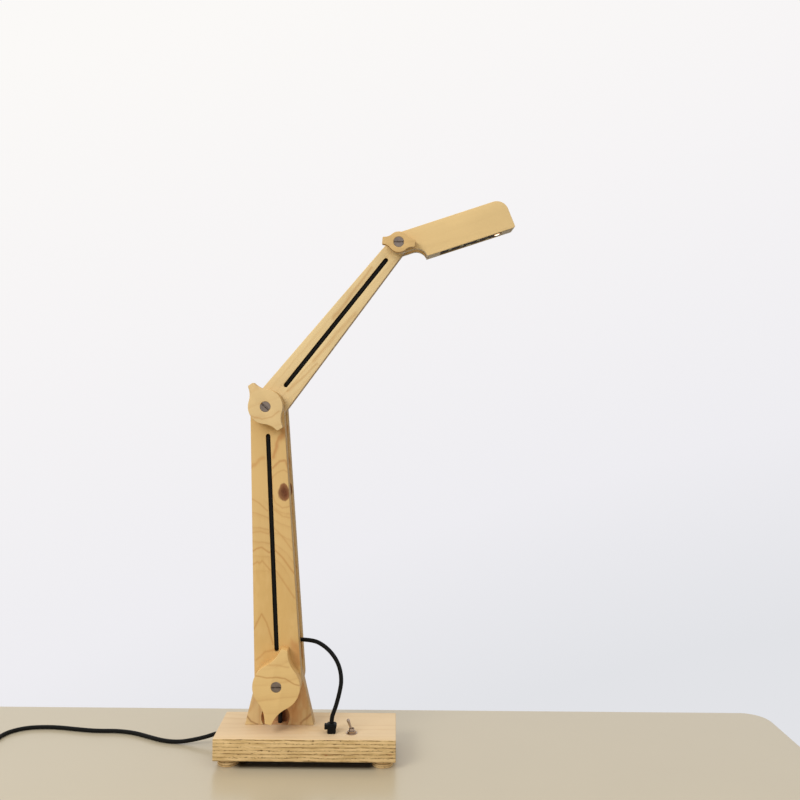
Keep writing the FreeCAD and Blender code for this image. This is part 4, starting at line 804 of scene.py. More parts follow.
@dataclass
class Sheet:
    """Points and faces being gathered for one mesh; faces may be flat or smooth."""

    points: list[np.ndarray] = field(default_factory=list)
    faces: list[list[int]] = field(default_factory=list)
    smooth: list[bool] = field(default_factory=list)
    count: int = 0

    def add(self, points: np.ndarray, faces: list[list[int]], smooth: bool) -> None:
        """Add points and the faces on them, counted from the first new point."""
        self.points.append(points)
        self.faces += [[index + self.count for index in face] for face in faces]
        self.smooth += [smooth] * len(faces)
        self.count += len(points)

    def link(self, faces: list[list[int]], smooth: bool) -> None:
        """Add faces on points that are there already."""
        self.faces += faces
        self.smooth += [smooth] * len(faces)

    def take(self, other: "Sheet") -> "Sheet":
        """Add another sheet's points and faces, and return this one."""
        self.points += other.points
        self.faces += [[index + self.count for index in face] for face in other.faces]
        self.smooth += other.smooth
        self.count += other.count
        return self

    def mesh(self, name: str, body: str, which: Finish, *nodes: str,
             sharp: float = 40.0) -> bpy.types.Object:
        """Make the object, dress it and let it stand for CAD nodes.

        Args:
            name: The piece's name.
            body: The body that it rides on, or an empty text for none.
            which: Its finish.
            nodes: CAD nodes that it replaces.
            sharp: Angle above which an edge stays sharp, in degrees.

        Returns:
            The new object.
        """
        data = bpy.data.meshes.new(name)
        data.from_pydata((np.concatenate(self.points) * MM).tolist(), [], self.faces)
        data.polygons.foreach_set("use_smooth", self.smooth)
        data.set_sharp_from_angle(angle=math.radians(sharp))
        data.materials.append(finish(which))
        data.update()
        piece = bpy.data.objects.new(name, data)
        bpy.context.scene.collection.objects.link(piece)
        if nodes:
            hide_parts(*nodes)
        if body:
            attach(piece, body)
        return piece


@dataclass(frozen=True)
class Stand:
    """Where a flat shape stands: an origin and its across, along and out directions."""

    origin: tuple[float, float, float]
    across: tuple[float, float, float]
    along: tuple[float, float, float]
    out: tuple[float, float, float]

    def put(self, across: np.ndarray, along: np.ndarray, out: np.ndarray) -> np.ndarray:
        """Local coordinates into the model's frame."""
        return (np.asarray(self.origin, float)
                + across[:, None] * np.asarray(self.across, float)
                + along[:, None] * np.asarray(self.along, float)
                + out[:, None] * np.asarray(self.out, float))


def upright(pivot: tuple[float, float], back: float, angle: float) -> Stand:
    """A board seen from the front, its length turned to an angle from level."""
    cosine, sine = math.cos(math.radians(angle)), math.sin(math.radians(angle))
    return Stand((pivot[0], back, pivot[1]), (sine, 0, -cosine), (cosine, 0, sine), (0, -1, 0))


@dataclass(frozen=True)
class Pocket:
    """A hollow sunk into a slab's outer face; its outline is walked clockwise."""

    outline: np.ndarray
    depth: float
    soft: float = 0.3
    cone: float = 0.0


def flat_fill(loops: list[np.ndarray]) -> list[list[int]]:
    """Triangles between an outer loop and the holes in it."""
    return [list(face) for face in geometry.tessellate_polygon(
        [[Vector((float(x), float(y), 0)) for x, y in loop] for loop in loops])]


def slab(stand: Stand, outline: np.ndarray, thickness: float, edge: float,
         pockets: tuple[Pocket, ...] = (), steps: int = 4, back: float = -1.0) -> Sheet:
    """A board with rounded edges and hollows in its outer face.

    Each ring is the outline moved inwards by edge times (1 - sin t) and sunk by edge
    times (1 - cos t), for t from 0 to a right angle, so that the edge is a quarter round.

    Args:
        stand: Where the board stands; its outer face is thickness along "out".
        outline: Its outline, counter-clockwise seen from outside.
        thickness: Its thickness.
        edge: Radius of its rounded edges.
        pockets: Hollows in the outer face.
        steps: Rings in a rounded edge.
        back: Radius of the inner face's edges where it differs from the outer's.

    Returns:
        The board's surface.
    """
    sheet = Sheet()
    turn = np.linspace(0, math.pi / 2, steps + 1)
    shrink = edge * (1 - np.sin(turn))
    sink = edge * (1 - np.cos(turn))
    inner = 1.0 if back < 0 else back / edge
    levels = np.concatenate([thickness - sink, sink[::-1] * inner])
    insets = np.concatenate([shrink, shrink[::-1] * inner])
    around = len(outline)
    for level, distance in zip(levels, insets):
        ring = inset(outline, distance)
        sheet.add(stand.put(ring[:, 0], ring[:, 1], np.full(around, level)), [], True)
    walls = ring_faces(len(levels), around)[:, ::-1]
    sheet.link(walls.tolist(), True)
    back_first = (len(levels) - 1) * around
    top_loops = [inset(outline, shrink[0])]
    top_index = list(range(around))
    for pocket in pockets:
        first = sheet.count
        count = len(pocket.outline)
        soft = pocket.soft
        soft_shrink = soft * (1 - np.sin(turn))
        soft_sink = soft * (1 - np.cos(turn))
        rows = [(float(distance), thickness - float(down))
                for distance, down in zip(soft_shrink, soft_sink)]
        rows.append((-pocket.cone, thickness - pocket.depth))
        for distance, level in rows:
            ring = inset(pocket.outline, distance)
            sheet.add(stand.put(ring[:, 0], ring[:, 1], np.full(count, level)), [], True)
        sheet.link(ring_faces(len(rows), count, first)[:, ::-1].tolist(), True)
        floor_first = first + (len(rows) - 1) * count
        sheet.link([[floor_first + index for index in range(count)][::-1]], False)
        top_loops.append(inset(pocket.outline, soft_shrink[0]))
        top_index += list(range(first, first + count))
    top = face_outwards(top_loops, flat_fill(top_loops), top_index)
    sheet.link(top, False)
    low_loop = inset(outline, insets[-1])
    bottom = face_outwards([low_loop], flat_fill([low_loop]),
                           list(range(back_first, back_first + around)))
    sheet.link([face[::-1] for face in bottom], False)
    return sheet


def face_outwards(loops: list[np.ndarray], faces: list[list[int]],
                  index: list[int]) -> list[list[int]]:
    """Give every flat face the same counter-clockwise walk and its mesh indices.

    Args:
        loops: The loops that the faces fill.
        faces: Faces as indices into the joined loops.
        index: Mesh index of every joined point.

    Returns:
        The faces as mesh indices.
    """
    points = np.concatenate(loops)
    corners = points[np.asarray(faces)]
    first = corners[:, 1] - corners[:, 0]
    second = corners[:, 2] - corners[:, 0]
    area = first[:, 0] * second[:, 1] - first[:, 1] * second[:, 0]
    return [[index[i] for i in (face if way > 0 else face[::-1])]
            for face, way in zip(faces, area)]


def turned(centre: tuple[float, float, float], axis: tuple[float, float, float],
           profile: np.ndarray, sides: int = 40, hexagon: float = 0.0,
           spin: float = 0.0) -> Sheet:
    """A turned piece: a profile of (radius, height) carried round an axis.

    With a hexagon, each radius is the smaller of its own and that of a hexagon of that
    half width across its flats, so a chamfered nut comes from the same formula.

    Args:
        centre: Point of the axis at height 0.
        axis: Direction of the axis.
        profile: Rows of radius and height, from the foot to the top.
        sides: Points around.
        hexagon: Half the width across the flats, or 0 for a round piece.
        spin: Turn of the hexagon in degrees.

    Returns:
        The piece's closed surface.
    """
    pole = np.asarray(axis, float) / np.linalg.norm(axis)
    guide = np.array([1.0, 0, 0]) if abs(pole[0]) < 0.8 else np.array([0, 1.0, 0])
    first = guide - pole * guide.dot(pole)
    first /= np.linalg.norm(first)
    second = np.cross(pole, first)
    angle = np.linspace(0, 2 * math.pi, sides, endpoint=False)
    radius = np.repeat(profile[:, :1], sides, axis=1)
    if hexagon > 0:
        within = np.mod(angle + math.radians(spin), math.pi / 3) - math.pi / 6
        radius = np.minimum(radius, hexagon / np.cos(within))
    height = np.repeat(profile[:, 1:2], sides, axis=1)
    points = (np.asarray(centre, float)
              + (radius * np.cos(angle))[..., None] * first
              + (radius * np.sin(angle))[..., None] * second
              + height[..., None] * pole)
    sheet = Sheet()
    sheet.add(points.reshape(-1, 3), ring_faces(len(profile), sides).tolist(), True)
    last = (len(profile) - 1) * sides
    sheet.link([list(range(sides))[::-1], list(range(last, last + sides))], False)
    return sheet


def hollow_turned(centre: tuple[float, float, float], axis: tuple[float, float, float],
                  profile: np.ndarray, sides: int = 40, hexagon: float = 0.0) -> Sheet:
    """A turned ring: a closed profile of (radius, height) carried round an axis.

    Args:
        centre: Point of the axis at height 0.
        axis: Direction of the axis.
        profile: Closed rows of radius and height; the first isn't repeated.
        sides: Points around.
        hexagon: Half the width across the flats, or 0 for a round piece.

    Returns:
        The ring's closed surface.
    """
    loop = np.concatenate([profile, profile[:1]])
    sheet = turned(centre, axis, loop, sides, hexagon)
    sheet.faces = sheet.faces[:-2]
    sheet.smooth = sheet.smooth[:-2]
    rows = len(profile)
    closed = np.asarray(sheet.faces)
    closed = np.where(closed >= rows * sides, closed - rows * sides, closed)
    sheet.faces = closed.tolist()
    sheet.points = [sheet.points[0][:rows * sides]]
    sheet.count = rows * sides
    return sheet


def tube(path: np.ndarray, radius: float, guide: tuple[float, float, float],
         sides: int = 16) -> Sheet:
    """A round tube along a path, each ring square to it.

    The ring's directions are the path's direction crossed with a fixed guide, and with
    the result again.

    Args:
        path: Points of the centre line.
        radius: The tube's radius.
        guide: A direction that the path never takes.
        sides: Points around.

    Returns:
        The tube's closed surface.
    """
    ahead = np.gradient(path, axis=0)
    ahead /= np.linalg.norm(ahead, axis=1, keepdims=True)
    first = np.cross(ahead, np.asarray(guide, float))
    first /= np.linalg.norm(first, axis=1, keepdims=True)
    second = np.cross(ahead, first)
    angle = np.linspace(0, 2 * math.pi, sides, endpoint=False)
    points = (path[:, None, :] + radius * np.cos(angle)[None, :, None] * first[:, None, :]
              + radius * np.sin(angle)[None, :, None] * second[:, None, :])
    sheet = Sheet()
    sheet.add(points.reshape(-1, 3), ring_faces(len(path), sides).tolist(), True)
    last = (len(path) - 1) * sides
    sheet.link([list(range(sides))[::-1], list(range(last, last + sides))], False)
    return sheet


def spline(points: list[tuple[float, float, float]], name: str,
           thick: float = 0.0) -> bpy.types.Object:
    """A smooth NURBS line through a cable's route, in metres.

    Args:
        points: The route's control points in millimetres.
        name: Name of the curve.
        thick: Radius of the cable in millimetres, or 0 for a bare line.

    Returns:
        The curve object.
    """
    data = bpy.data.curves.new(name, "CURVE")
    data.dimensions = "3D"
    data.resolution_u = 8
    data.bevel_depth = thick * MM
    data.bevel_resolution = 4
    data.use_fill_caps = thick > 0
    line = data.splines.new("NURBS")
    line.points.add(len(points) - 1)
    flat = np.ones((len(points), 4))
    flat[:, :3] = np.asarray(points, float) * MM
    line.points.foreach_set("co", flat.ravel())
    line.order_u = 3
    line.use_endpoint_u = True
    curve = bpy.data.objects.new(name, data)
    bpy.context.scene.collection.objects.link(curve)
    return curve


def line_points(points: list[tuple[float, float, float]], name: str) -> np.ndarray:
    """Points read from a route's own NURBS line, in millimetres."""
    curve = spline(points, name)
    read = bpy.data.meshes.new_from_object(curve)
    flat = np.empty(len(read.vertices) * 3)
    read.vertices.foreach_get("co", flat)
    bpy.data.objects.remove(curve, do_unlink=True)
    bpy.data.meshes.remove(read)
    return flat.reshape(-1, 3) / MM


# --- outlines --------------------------------------------------------------------------

def circle(centre: tuple[float, float], radius: float, step: float = 10.0) -> np.ndarray:
    """A full circle walked clockwise, for a hollow."""
    return joined(arc(centre, radius, 360, 0, step)[:-1])


def tapered(low: float, high: float, length: float) -> np.ndarray:
    """Two round ends on a line of that length, joined by their common tangents."""
    lean = math.degrees(math.asin((low - high) / length))
    return joined(arc((0, length), high, lean, 180 - lean), arc((0, 0), low, 180 - lean,
                                                                360 + lean))


def winged(radius: float, reach: float, tip: float, flank: float,
           soft: float = 1.2) -> np.ndarray:
    """A disc with two opposite wings whose hollow flanks are tangent to the disc.

    Args:
        radius: The disc's radius.
        reach: Distance from the centre to a wing's flat tip.
        tip: Width of a tip.
        flank: Radius of a flank.
        soft: Radius of a tip's corners.

    Returns:
        The outline, counter-clockwise.
    """
    half = tip / 2
    far = math.hypot(reach, half)
    span = radius + flank
    lift = math.acos((far * far + span * span - flank * flank) / (2 * far * span))
    lean = math.atan2(half, reach) + lift
    middle = (span * math.cos(lean), span * math.sin(lean))
    tip_angle = math.degrees(math.atan2(half - middle[1], reach - middle[0]))
    disc_angle = math.degrees(lean) + 180
    upper = arc(middle, flank, tip_angle, disc_angle - 360, 4)
    upper = upper[np.hypot(upper[:, 0] - reach, upper[:, 1] - half) > soft * 1.1]
    corner = arc((reach - soft, half - soft), soft, 0, 80, 25)
    right = np.concatenate([corner, upper])
    disc = arc((0, 0), radius, math.degrees(lean), 90, 5)
    quarter = np.concatenate([right, disc[1:]])
    left = quarter[::-1] * (-1, 1)
    top = np.concatenate([quarter, left[1:]])
    return joined(top, top * (-1, -1))


# --- sub-assemblies --------------------------------------------------------------------

@dataclass
class Base:
    """Plywood block on four wooden feet, with its recessed cover and its post bolt."""

    length: float = 194.0
    width: float = 78.0
    foot_radius: float = 11.25
    foot_inset: tuple[float, float] = (14.0, 15.0)
    cover_left: float = -56.8
    cover_size: tuple[float, float] = (64.0, 72.0)
    cover_depth: float = 3.0
    sink_radius: float = 5.6
    sink_depth: float = 6.5

    def build(self) -> None:
        """Build the block, its cover and its feet."""
        self.block()
        self.cover()
        self.feet()
        self.bolt()
        LOG.info("base built")

    def block(self) -> None:
        """The block, its underside turned down, with the cover's recess in it."""
        half_x, half_y = self.length / 2, self.width / 2
        below = Stand((PLAN.base_x, 0, PLAN.base_top), (1, 0, 0), (0, -1, 0), (0, 0, -1))
        soft = 1.0
        outline = joined(arc((half_x - soft, half_y - soft), soft, 0, 90, 30),
                         arc((-half_x + soft, half_y - soft), soft, 90, 180, 30),
                         arc((-half_x + soft, -half_y + soft), soft, 180, 270, 30),
                         arc((half_x - soft, -half_y + soft), soft, 270, 360, 30))
        left = self.cover_left - PLAN.base_x - 0.2
        right = left + self.cover_size[0] + 0.4
        side = self.cover_size[1] / 2 + 0.2
        recess = np.array([[left, -side], [left, side], [right, side], [right, -side]])
        pivot_x = PLAN.lower_pivot[0] - PLAN.base_x
        sheet = slab(below, outline, PLAN.base_top - PLAN.base_bottom, 0.7,
                     (Pocket(recess, self.cover_depth + 0.2),
                      Pocket(circle((pivot_x, -7.5), self.sink_radius), self.sink_depth)))
        sheet.mesh("plywood_block", "base", Finish.BASE, "base_block")

    def cover(self) -> None:
        """The cover panel in its recess, with four sunk screws."""
        wide, deep = self.cover_size
        below = Stand((self.cover_left + wide / 2, 0, PLAN.base_bottom + self.cover_depth),
                      (1, 0, 0), (0, -1, 0), (0, 0, -1))
        outline = np.array([[-wide, -deep], [wide, -deep], [wide, deep], [-wide, deep]]) / 2
        places = [(x * (wide / 2 - 3), y * (deep / 2 - 3))
                  for x, y in ((-1, -1), (1, -1), (1, 1), (-1, 1))]
        holes = tuple(Pocket(circle(place, 2.7, 20), 1.5, 0.2) for place in places)
        slab(below, outline, self.cover_depth, 0.4, holes).mesh(
            "bottom_cover", "base", Finish.BASE, "base_cover")
        heads = Sheet()
        for x, y in places:
            screw = screw_head((below.origin[0] + x, -y, PLAN.base_bottom), (0, 0, -1), 2.6,
                               1.4, 0.8, 30 + 20 * x)
            heads.take(screw)
        heads.mesh("cover_screw_heads", "base", Finish.STEEL, "cover_screws")

    def feet(self) -> None:
        """Four wooden discs with rounded rims."""
        names = (("front_left", -1, -1), ("front_right", 1, -1), ("rear_left", -1, 1),
                 ("rear_right", 1, 1))
        turn = np.linspace(0, math.pi / 2, 5)
        low = np.stack([self.foot_radius - 0.8 + 0.8 * np.sin(turn),
                        0.8 - 0.8 * np.cos(turn)], 1)
        profile = np.concatenate([[[0.05, 0]], low, [[self.foot_radius, PLAN.base_bottom]],
                                  [[0.05, PLAN.base_bottom]]])
        for name, side_x, side_y in names:
            centre = (PLAN.base_x + side_x * (self.length / 2 - self.foot_inset[0]),
                      side_y * (self.width / 2 - self.foot_inset[1]), 0)
            turned(centre, (0, 0, 1), profile, 56).mesh(
                f"wooden_foot_{name}", "base", Finish.FOOT, f"foot_{name}")

    def bolt(self) -> None:
        """The black bolt that is seen in the post's arch, and its head and washer."""
        x, y = PLAN.lower_pivot[0], PLAN.board / 2
        thread = np.arange(0, 48, 0.4)
        ridge = 2.22 + 0.16 * np.abs(np.mod(thread, 0.8) - 0.4) / 0.4
        shank = np.stack([ridge, thread + 17], 1)
        head = np.array([[0.05, 8.7], [3.9, 8.7], [4.25, 9.1], [4.25, 13.3], [2.4, 13.3]])
        profile = np.concatenate([head, shank, [[1.6, 66.0], [0.05, 66.0]]])
        turned((x, y, 0), (0, 0, 1), profile, 28).mesh(
            "black_draw_bolt", "base", Finish.BLACK_BOLT, "post_bolt")
        ring = np.array([[5.4, 0], [5.5, 0.15], [5.5, 1.1], [5.4, 1.2], [2.5, 1.2], [2.5, 0]])
        hollow_turned((x, y, 13.3), (0, 0, 1), ring, 36).mesh(
            "draw_bolt_washer", "base", Finish.STEEL, "post_bolt_washer")


def screw_head(face: tuple[float, float, float], out: tuple[float, float, float],
               radius: float, depth: float, slot: float, angle: float) -> Sheet:
    """A flat slotted head: a disc whose points near the slot are sunk.

    The disc is a grid of rings; a point's sink is the slot's depth where its distance
    from the slot's line is under half the slot's width, eased over a tenth of it.

    Args:
        face: Middle of the head's outer face.
        out: Direction that the face looks.
        radius: The head's radius.
        depth: How far the head reaches below its face.
        slot: Width of the slot.
        angle: The slot's angle in the face, in degrees.

    Returns:
        The head's surface.
    """
    pole = np.asarray(out, float)
    guide = np.array([1.0, 0, 0]) if abs(pole[0]) < 0.8 else np.array([0, 1.0, 0])
    second = np.cross(pole, guide)
    if second[2] < 0:
        second = -second
    first = guide
    size = 41
    span = np.linspace(-1, 1, size)
    grid_x, grid_y = np.meshgrid(span, span, indexing="ij")
    disc_x = grid_x * np.sqrt(1 - grid_y ** 2 / 2)
    disc_y = grid_y * np.sqrt(1 - grid_x ** 2 / 2)
    cosine, sine = math.cos(math.radians(angle)), math.sin(math.radians(angle))
    beside = np.abs(-disc_x * sine + disc_y * cosine) * radius
    sunk = np.clip((slot / 2 + 0.12 - beside) / 0.24, 0, 1) * min(slot * 1.1, depth * 0.6)
    rim = np.hypot(disc_x, disc_y)
    sunk = sunk + np.clip(rim - 0.93, 0, 1) ** 2 * radius * 6
    points = (np.asarray(face, float) + disc_x[..., None] * radius * first
              + disc_y[..., None] * radius * second - sunk[..., None] * pole)
    row, column = np.meshgrid(np.arange(size - 1), np.arange(size - 1), indexing="ij")
    quads = np.stack([row * size + column, (row + 1) * size + column,
                      (row + 1) * size + column + 1, row * size + column + 1], -1)
    quads = quads.reshape(-1, 4)
    if np.cross(first, second).dot(pole) < 0:
        quads = quads[:, ::-1]
    sheet = Sheet()
    sheet.add(points.reshape(-1, 3), quads.tolist(), True)
    edge = np.concatenate([np.arange(size), np.arange(1, size) * size + size - 1,
                           (size - 1) * size + np.arange(size - 2, -1, -1),
                           np.arange(size - 2, 0, -1) * size])
    rim_points = points.reshape(-1, 3)[edge]
    middle = np.asarray(face, float) - pole * depth
    low = middle + (rim_points - (np.asarray(face, float))) * 0.55
    low = low - ((low - middle) @ pole)[:, None] * pole
    around = len(edge)
    base = sheet.count
    sheet.add(low, [], True)
    following = np.roll(edge, -1)
    index = np.arange(around)
    skirt = np.stack([edge, base + index, base + (index + 1) % around, following], -1)
    cap = [(base + index).tolist()]
    if np.cross(first, second).dot(pole) < 0:
        skirt = skirt[:, ::-1]
    else:
        cap = [cap[0][::-1]]
    sheet.link(skirt.tolist(), True)
    sheet.link(cap, False)
    return sheet


@dataclass
class Post:
    """The single board that stands on the base and carries the lower pivot."""

    radius: float = 25.0
    half_foot: float = 38.0
    height: float = 51.5
    arch_radius: float = 15.5
    arch_shift: float = -4.4
    arch_rise: float = 8.5
    arch_depth: float = 12.0

    def build(self) -> None:
        """Build the board with its flared sides and the blind arch in its front."""
        slope = math.hypot(self.half_foot, self.height)
        lean = math.degrees(math.acos(self.radius / slope)
                            - math.atan2(self.height, self.half_foot))
        half = math.degrees(math.asin(self.arch_rise / self.arch_radius))
        arch = arc((self.arch_shift, -self.height + self.arch_rise), self.arch_radius,
                   180 + half, -half, 8)
        top = arc((0, 0), self.radius, lean, 180 - lean, 5)
        feet = np.array([[-self.half_foot, -self.height], [self.half_foot, -self.height]])
        sheet = slab(upright(PLAN.lower_pivot, self.arch_depth, 90),
                     joined(top, feet[:1], arch, feet[1:]), self.arch_depth, 0.7, back=0.01)
        rear = slab(upright(PLAN.lower_pivot, PLAN.board, 90), joined(top, feet),
                    PLAN.board - self.arch_depth, 0.01, back=0.7)
        sheet.take(rear).mesh("post_board", "base", Finish.POST, "pivot_post")
        self.lining(arch)
        LOG.info("post built")

    def lining(self, arch: np.ndarray) -> None:
        """Dark wood inside the arch: a skin on its wall and back, and a sill on the base's top.
        """
        shell = Sheet()
        inner = inset(arch, 0.0)
        count = len(arch)
        x, z = PLAN.lower_pivot
        middle = np.array([self.arch_shift, -self.height + self.arch_rise])
        away = (inner - middle) / np.linalg.norm(inner - middle, axis=1, keepdims=True)
        wall = inner - away * 0.12
        for depth in (0.9, 4.0, 8.0, self.arch_depth - 0.12):
            shell.add(np.stack([wall[:, 0] + x, np.full(count, depth), wall[:, 1] + z], 1),
                      [], True)
        row = np.arange(count - 1)
        for ring in range(3):
            first = ring * count
            quads = np.stack([first + row, first + row + 1, first + count + row + 1,
                              first + count + row], -1)
            shell.link(quads.tolist(), True)
        shell.link([(3 * count + np.arange(count)).tolist()], False)
        sill = np.array([[wall[0, 0], 0.9], [wall[-1, 0], 0.9],
                         [wall[-1, 0], self.arch_depth - 0.12],
                         [wall[0, 0], self.arch_depth - 0.12]])
        shell.add(np.stack([sill[:, 0] + x, sill[:, 1],
                            np.full(4, PLAN.base_top + 0.12)], 1), [[0, 1, 2, 3]], False)
        shell.mesh("arch_lining", "base", Finish.ARCH)


@dataclass
class Arms:
    """The paired lower arm and the single upper arm, each with its cable groove."""

    lower_ends: tuple[float, float] = (25.5, 18.0)
    lower_groove: tuple[float, float] = (36.0, 268.0)
    upper_ends: tuple[float, float] = (18.3, 10.4)
    upper_groove: tuple[float, float] = (30.0, 206.5)
    groove_half: float = 2.45
    groove_depth: float = 5.2
    edge: float = 0.7

    def groove(self, start: float, stop: float) -> Pocket:
        """A long round-ended groove along the board's middle."""
        outline = joined(arc((0, stop), self.groove_half, 180, 0, 15),
                         arc((0, start), self.groove_half, 0, -180, 15))
        return Pocket(outline, self.groove_depth, 0.25)

    def build(self) -> None:
        """Build the three boards."""
        low, high = self.lower_ends
        outline = tapered(low, high, PLAN.lower_length)
        front = upright(PLAN.lower_pivot, -PLAN.gap, PLAN.lower_angle)
        slab(front, outline, PLAN.arm_plate, self.edge, (self.groove(*self.lower_groove),)).mesh(
            "lower_front_board", "lower_arm", Finish.LOWER, "lower_arm_front")
        rear = upright(PLAN.lower_pivot, PLAN.lower_rear, PLAN.lower_angle)
        slab(rear, outline, PLAN.arm_plate, self.edge).mesh(
            "lower_rear_board", "lower_arm", Finish.LOWER, "lower_arm_rear")
        low, high = self.upper_ends
        outline = tapered(low, high, PLAN.upper_length)
        stand = upright(PLAN.elbow, PLAN.board, PLAN.upper_angle)
        slab(stand, outline, PLAN.board, self.edge, (self.groove(*self.upper_groove),)).mesh(
            "upper_board", "upper_arm", Finish.UPPER, "upper_arm_board")
        LOG.info("arms built")


@dataclass
class Head:
    """Two side plates, the core frame between them and the light unit inside."""

    neck: float = 11.2
    drop: float = 23.0
    reach: float = 127.1
    slant: float = 2.2
    tip_radius: float = 13.5
    low_radius: float = 2.0
    notch: tuple[float, float] = (13.2, 12.5)
    window: tuple[float, float] = (41.0, 112.0)
    rail: float = 7.0
    rebate: float = 4.0
    recess: float = 1.9
    edge: float = 0.5

    def stand(self, back: float) -> Stand:
        """The head's own directions: along its length and up from it."""
        cosine = math.cos(math.radians(PLAN.head_angle))
        sine = math.sin(math.radians(PLAN.head_angle))
        return Stand((PLAN.head_pivot[0], back, PLAN.head_pivot[1]),
                     (cosine, 0, sine), (-sine, 0, cosine), (0, -1, 0))

    def tip(self) -> np.ndarray:
        """The bottom edge's far corner, the slanted tip and the round upper corner."""
        lean = math.degrees(math.atan2(self.slant, self.neck + self.drop))
        low_x = self.reach - self.low_radius * math.tan(math.radians(45 + lean / 2))
        low = arc((low_x, self.low_radius - self.drop), self.low_radius, -90, lean, 15)
        top_x = self.reach - self.slant
        high_x = top_x - self.tip_radius * math.tan(math.radians(45 - lean / 2))
        high = arc((high_x, self.neck - self.tip_radius), self.tip_radius, lean, 90, 5)
        return np.concatenate([low, high])

    def build(self) -> None:
        """Build the plates, the core and the light unit."""
        start, radius = self.notch
        notch_drop = self.drop - self.neck - radius
        heel_angle = math.degrees(math.asin(-notch_drop / radius))
        heel = (start + radius * math.cos(math.radians(heel_angle)), -self.drop)
        notch = arc((start, -self.neck - radius), radius, 90, heel_angle, 6)
        outline = joined(self.tip(), arc((0, 0), self.neck, 90, 270, 6), notch)
        low, high = self.window
        top = self.neck - self.rail
        open_low = joined(outline, np.array([[low, -self.drop], [low, top], [high, top],
                                             [high, -self.drop]]))
        skin = PLAN.head_plate - self.rebate
        front = slab(self.stand(PLAN.head_front + skin), outline, skin, self.edge, back=0.01)
        front.take(slab(self.stand(-PLAN.gap), open_low, self.rebate, 0.01, back=0.3)).mesh(
            "head_front_board", "head", Finish.HEAD, "head_front_plate")
        rear = slab(self.stand(PLAN.head_rear), outline, skin, 0.01, back=self.edge)
        rear.take(slab(self.stand(PLAN.head_rear - skin), open_low, self.rebate, 0.01,
                       back=0.01)).mesh(
            "head_rear_board", "head", Finish.HEAD, "head_rear_plate")
        core = joined(np.array([[high, -self.drop]]), self.tip(),
                      np.array([[heel[0], self.neck], [heel[0], -self.drop],
                                [low, -self.drop], [low, top], [high, top]]))
        slab(self.stand(PLAN.board + PLAN.gap), core, PLAN.board + 2 * PLAN.gap, 0.15).mesh(
            "head_core_frame", "head", Finish.HEAD, "head_core")
        self.light()
        LOG.info("head built")

    def light(self) -> None:
        """The finned black bar, the circuit board under it and the lit lens."""
        low, high = self.window
        level = -self.drop + self.recess
        stand = self.stand(PLAN.board / 2)
        half = 11.25
        across = np.array([-half, -half, -7.6, -7.6, -2.6, -2.6, 2.6, 2.6, 7.6, 7.6, half, half])
        up = np.array([0, 12, 12, 5, 5, 12, 12, 5, 5, 12, 12, 0]) + level
        bar = Sheet()
        for far in (low, high):
            bar.add(stand.put(np.full(12, far), up, across), [], False)
        bar.link(ring_faces(2, 12)[:, ::-1].tolist(), False)
        bar.link([list(range(12)), list(range(12, 24))[::-1]], False)
        bar.mesh("finned_light_bar", "head", Finish.BLACK_BAR, "led_heat_sink")
        down = tuple(-value for value in stand.along)
        middle = (low + high) / 2
        board = Stand(tuple(stand.put(np.array([middle]), np.array([level]), np.array([0.0]))[0]),
                      stand.across, (0, 1, 0), down)
        wide, deep = (high - low) / 2 - 0.7, half + 0.5 - 0.9
        outline = np.array([[-wide, -deep], [wide, -deep], [wide, deep], [-wide, deep]])
        slab(board, outline, 1.2, 0.2).mesh("circuit_board", "head", Finish.CIRCUIT,
                                            "led_board")
        chips = Sheet()
        for far, side, long, short in ((74.9, -6.5, 2.6, 1.5), (96.9, -6.8, 2.0, 1.4),
                                       (52.0, 4.0, 1.6, 1.6), (66.0, 4.0, 1.6, 1.6),
                                       (85.0, 4.0, 1.6, 1.6)):
            spot = stand.put(np.array([far]), np.array([level - 1.2]), np.array([side]))[0]
            outline = np.array([[-long, -short], [long, -short], [long, short], [-long, short]])
            chips.take(slab(Stand(tuple(spot), stand.across, (0, 1, 0), down), outline, 0.6,
                            0.15))
        piece = chips.mesh("light_chips", "head", Finish.CHIP)
        top = stand.put(np.array([107.6]), np.array([level - 1.2]), np.array([0.0]))[0]
        angle = np.linspace(0, math.pi / 2, 8)
        dome = np.stack([3.2 * np.cos(angle), 0.2 + 0.8 * np.sin(angle)], 1)
        profile = np.concatenate([[[0.05, 0], [3.2, 0]], dome[:-1], [[0.05, 1.0]]])
        turned(tuple(top), down, profile, 32).mesh("lit_lens", "head", Finish.LENS, "led_lens")


class Turn(Enum):
    """The three clamped pivots."""

    LOWER = "lower"
    ELBOW = "elbow"
    HEAD = "head"


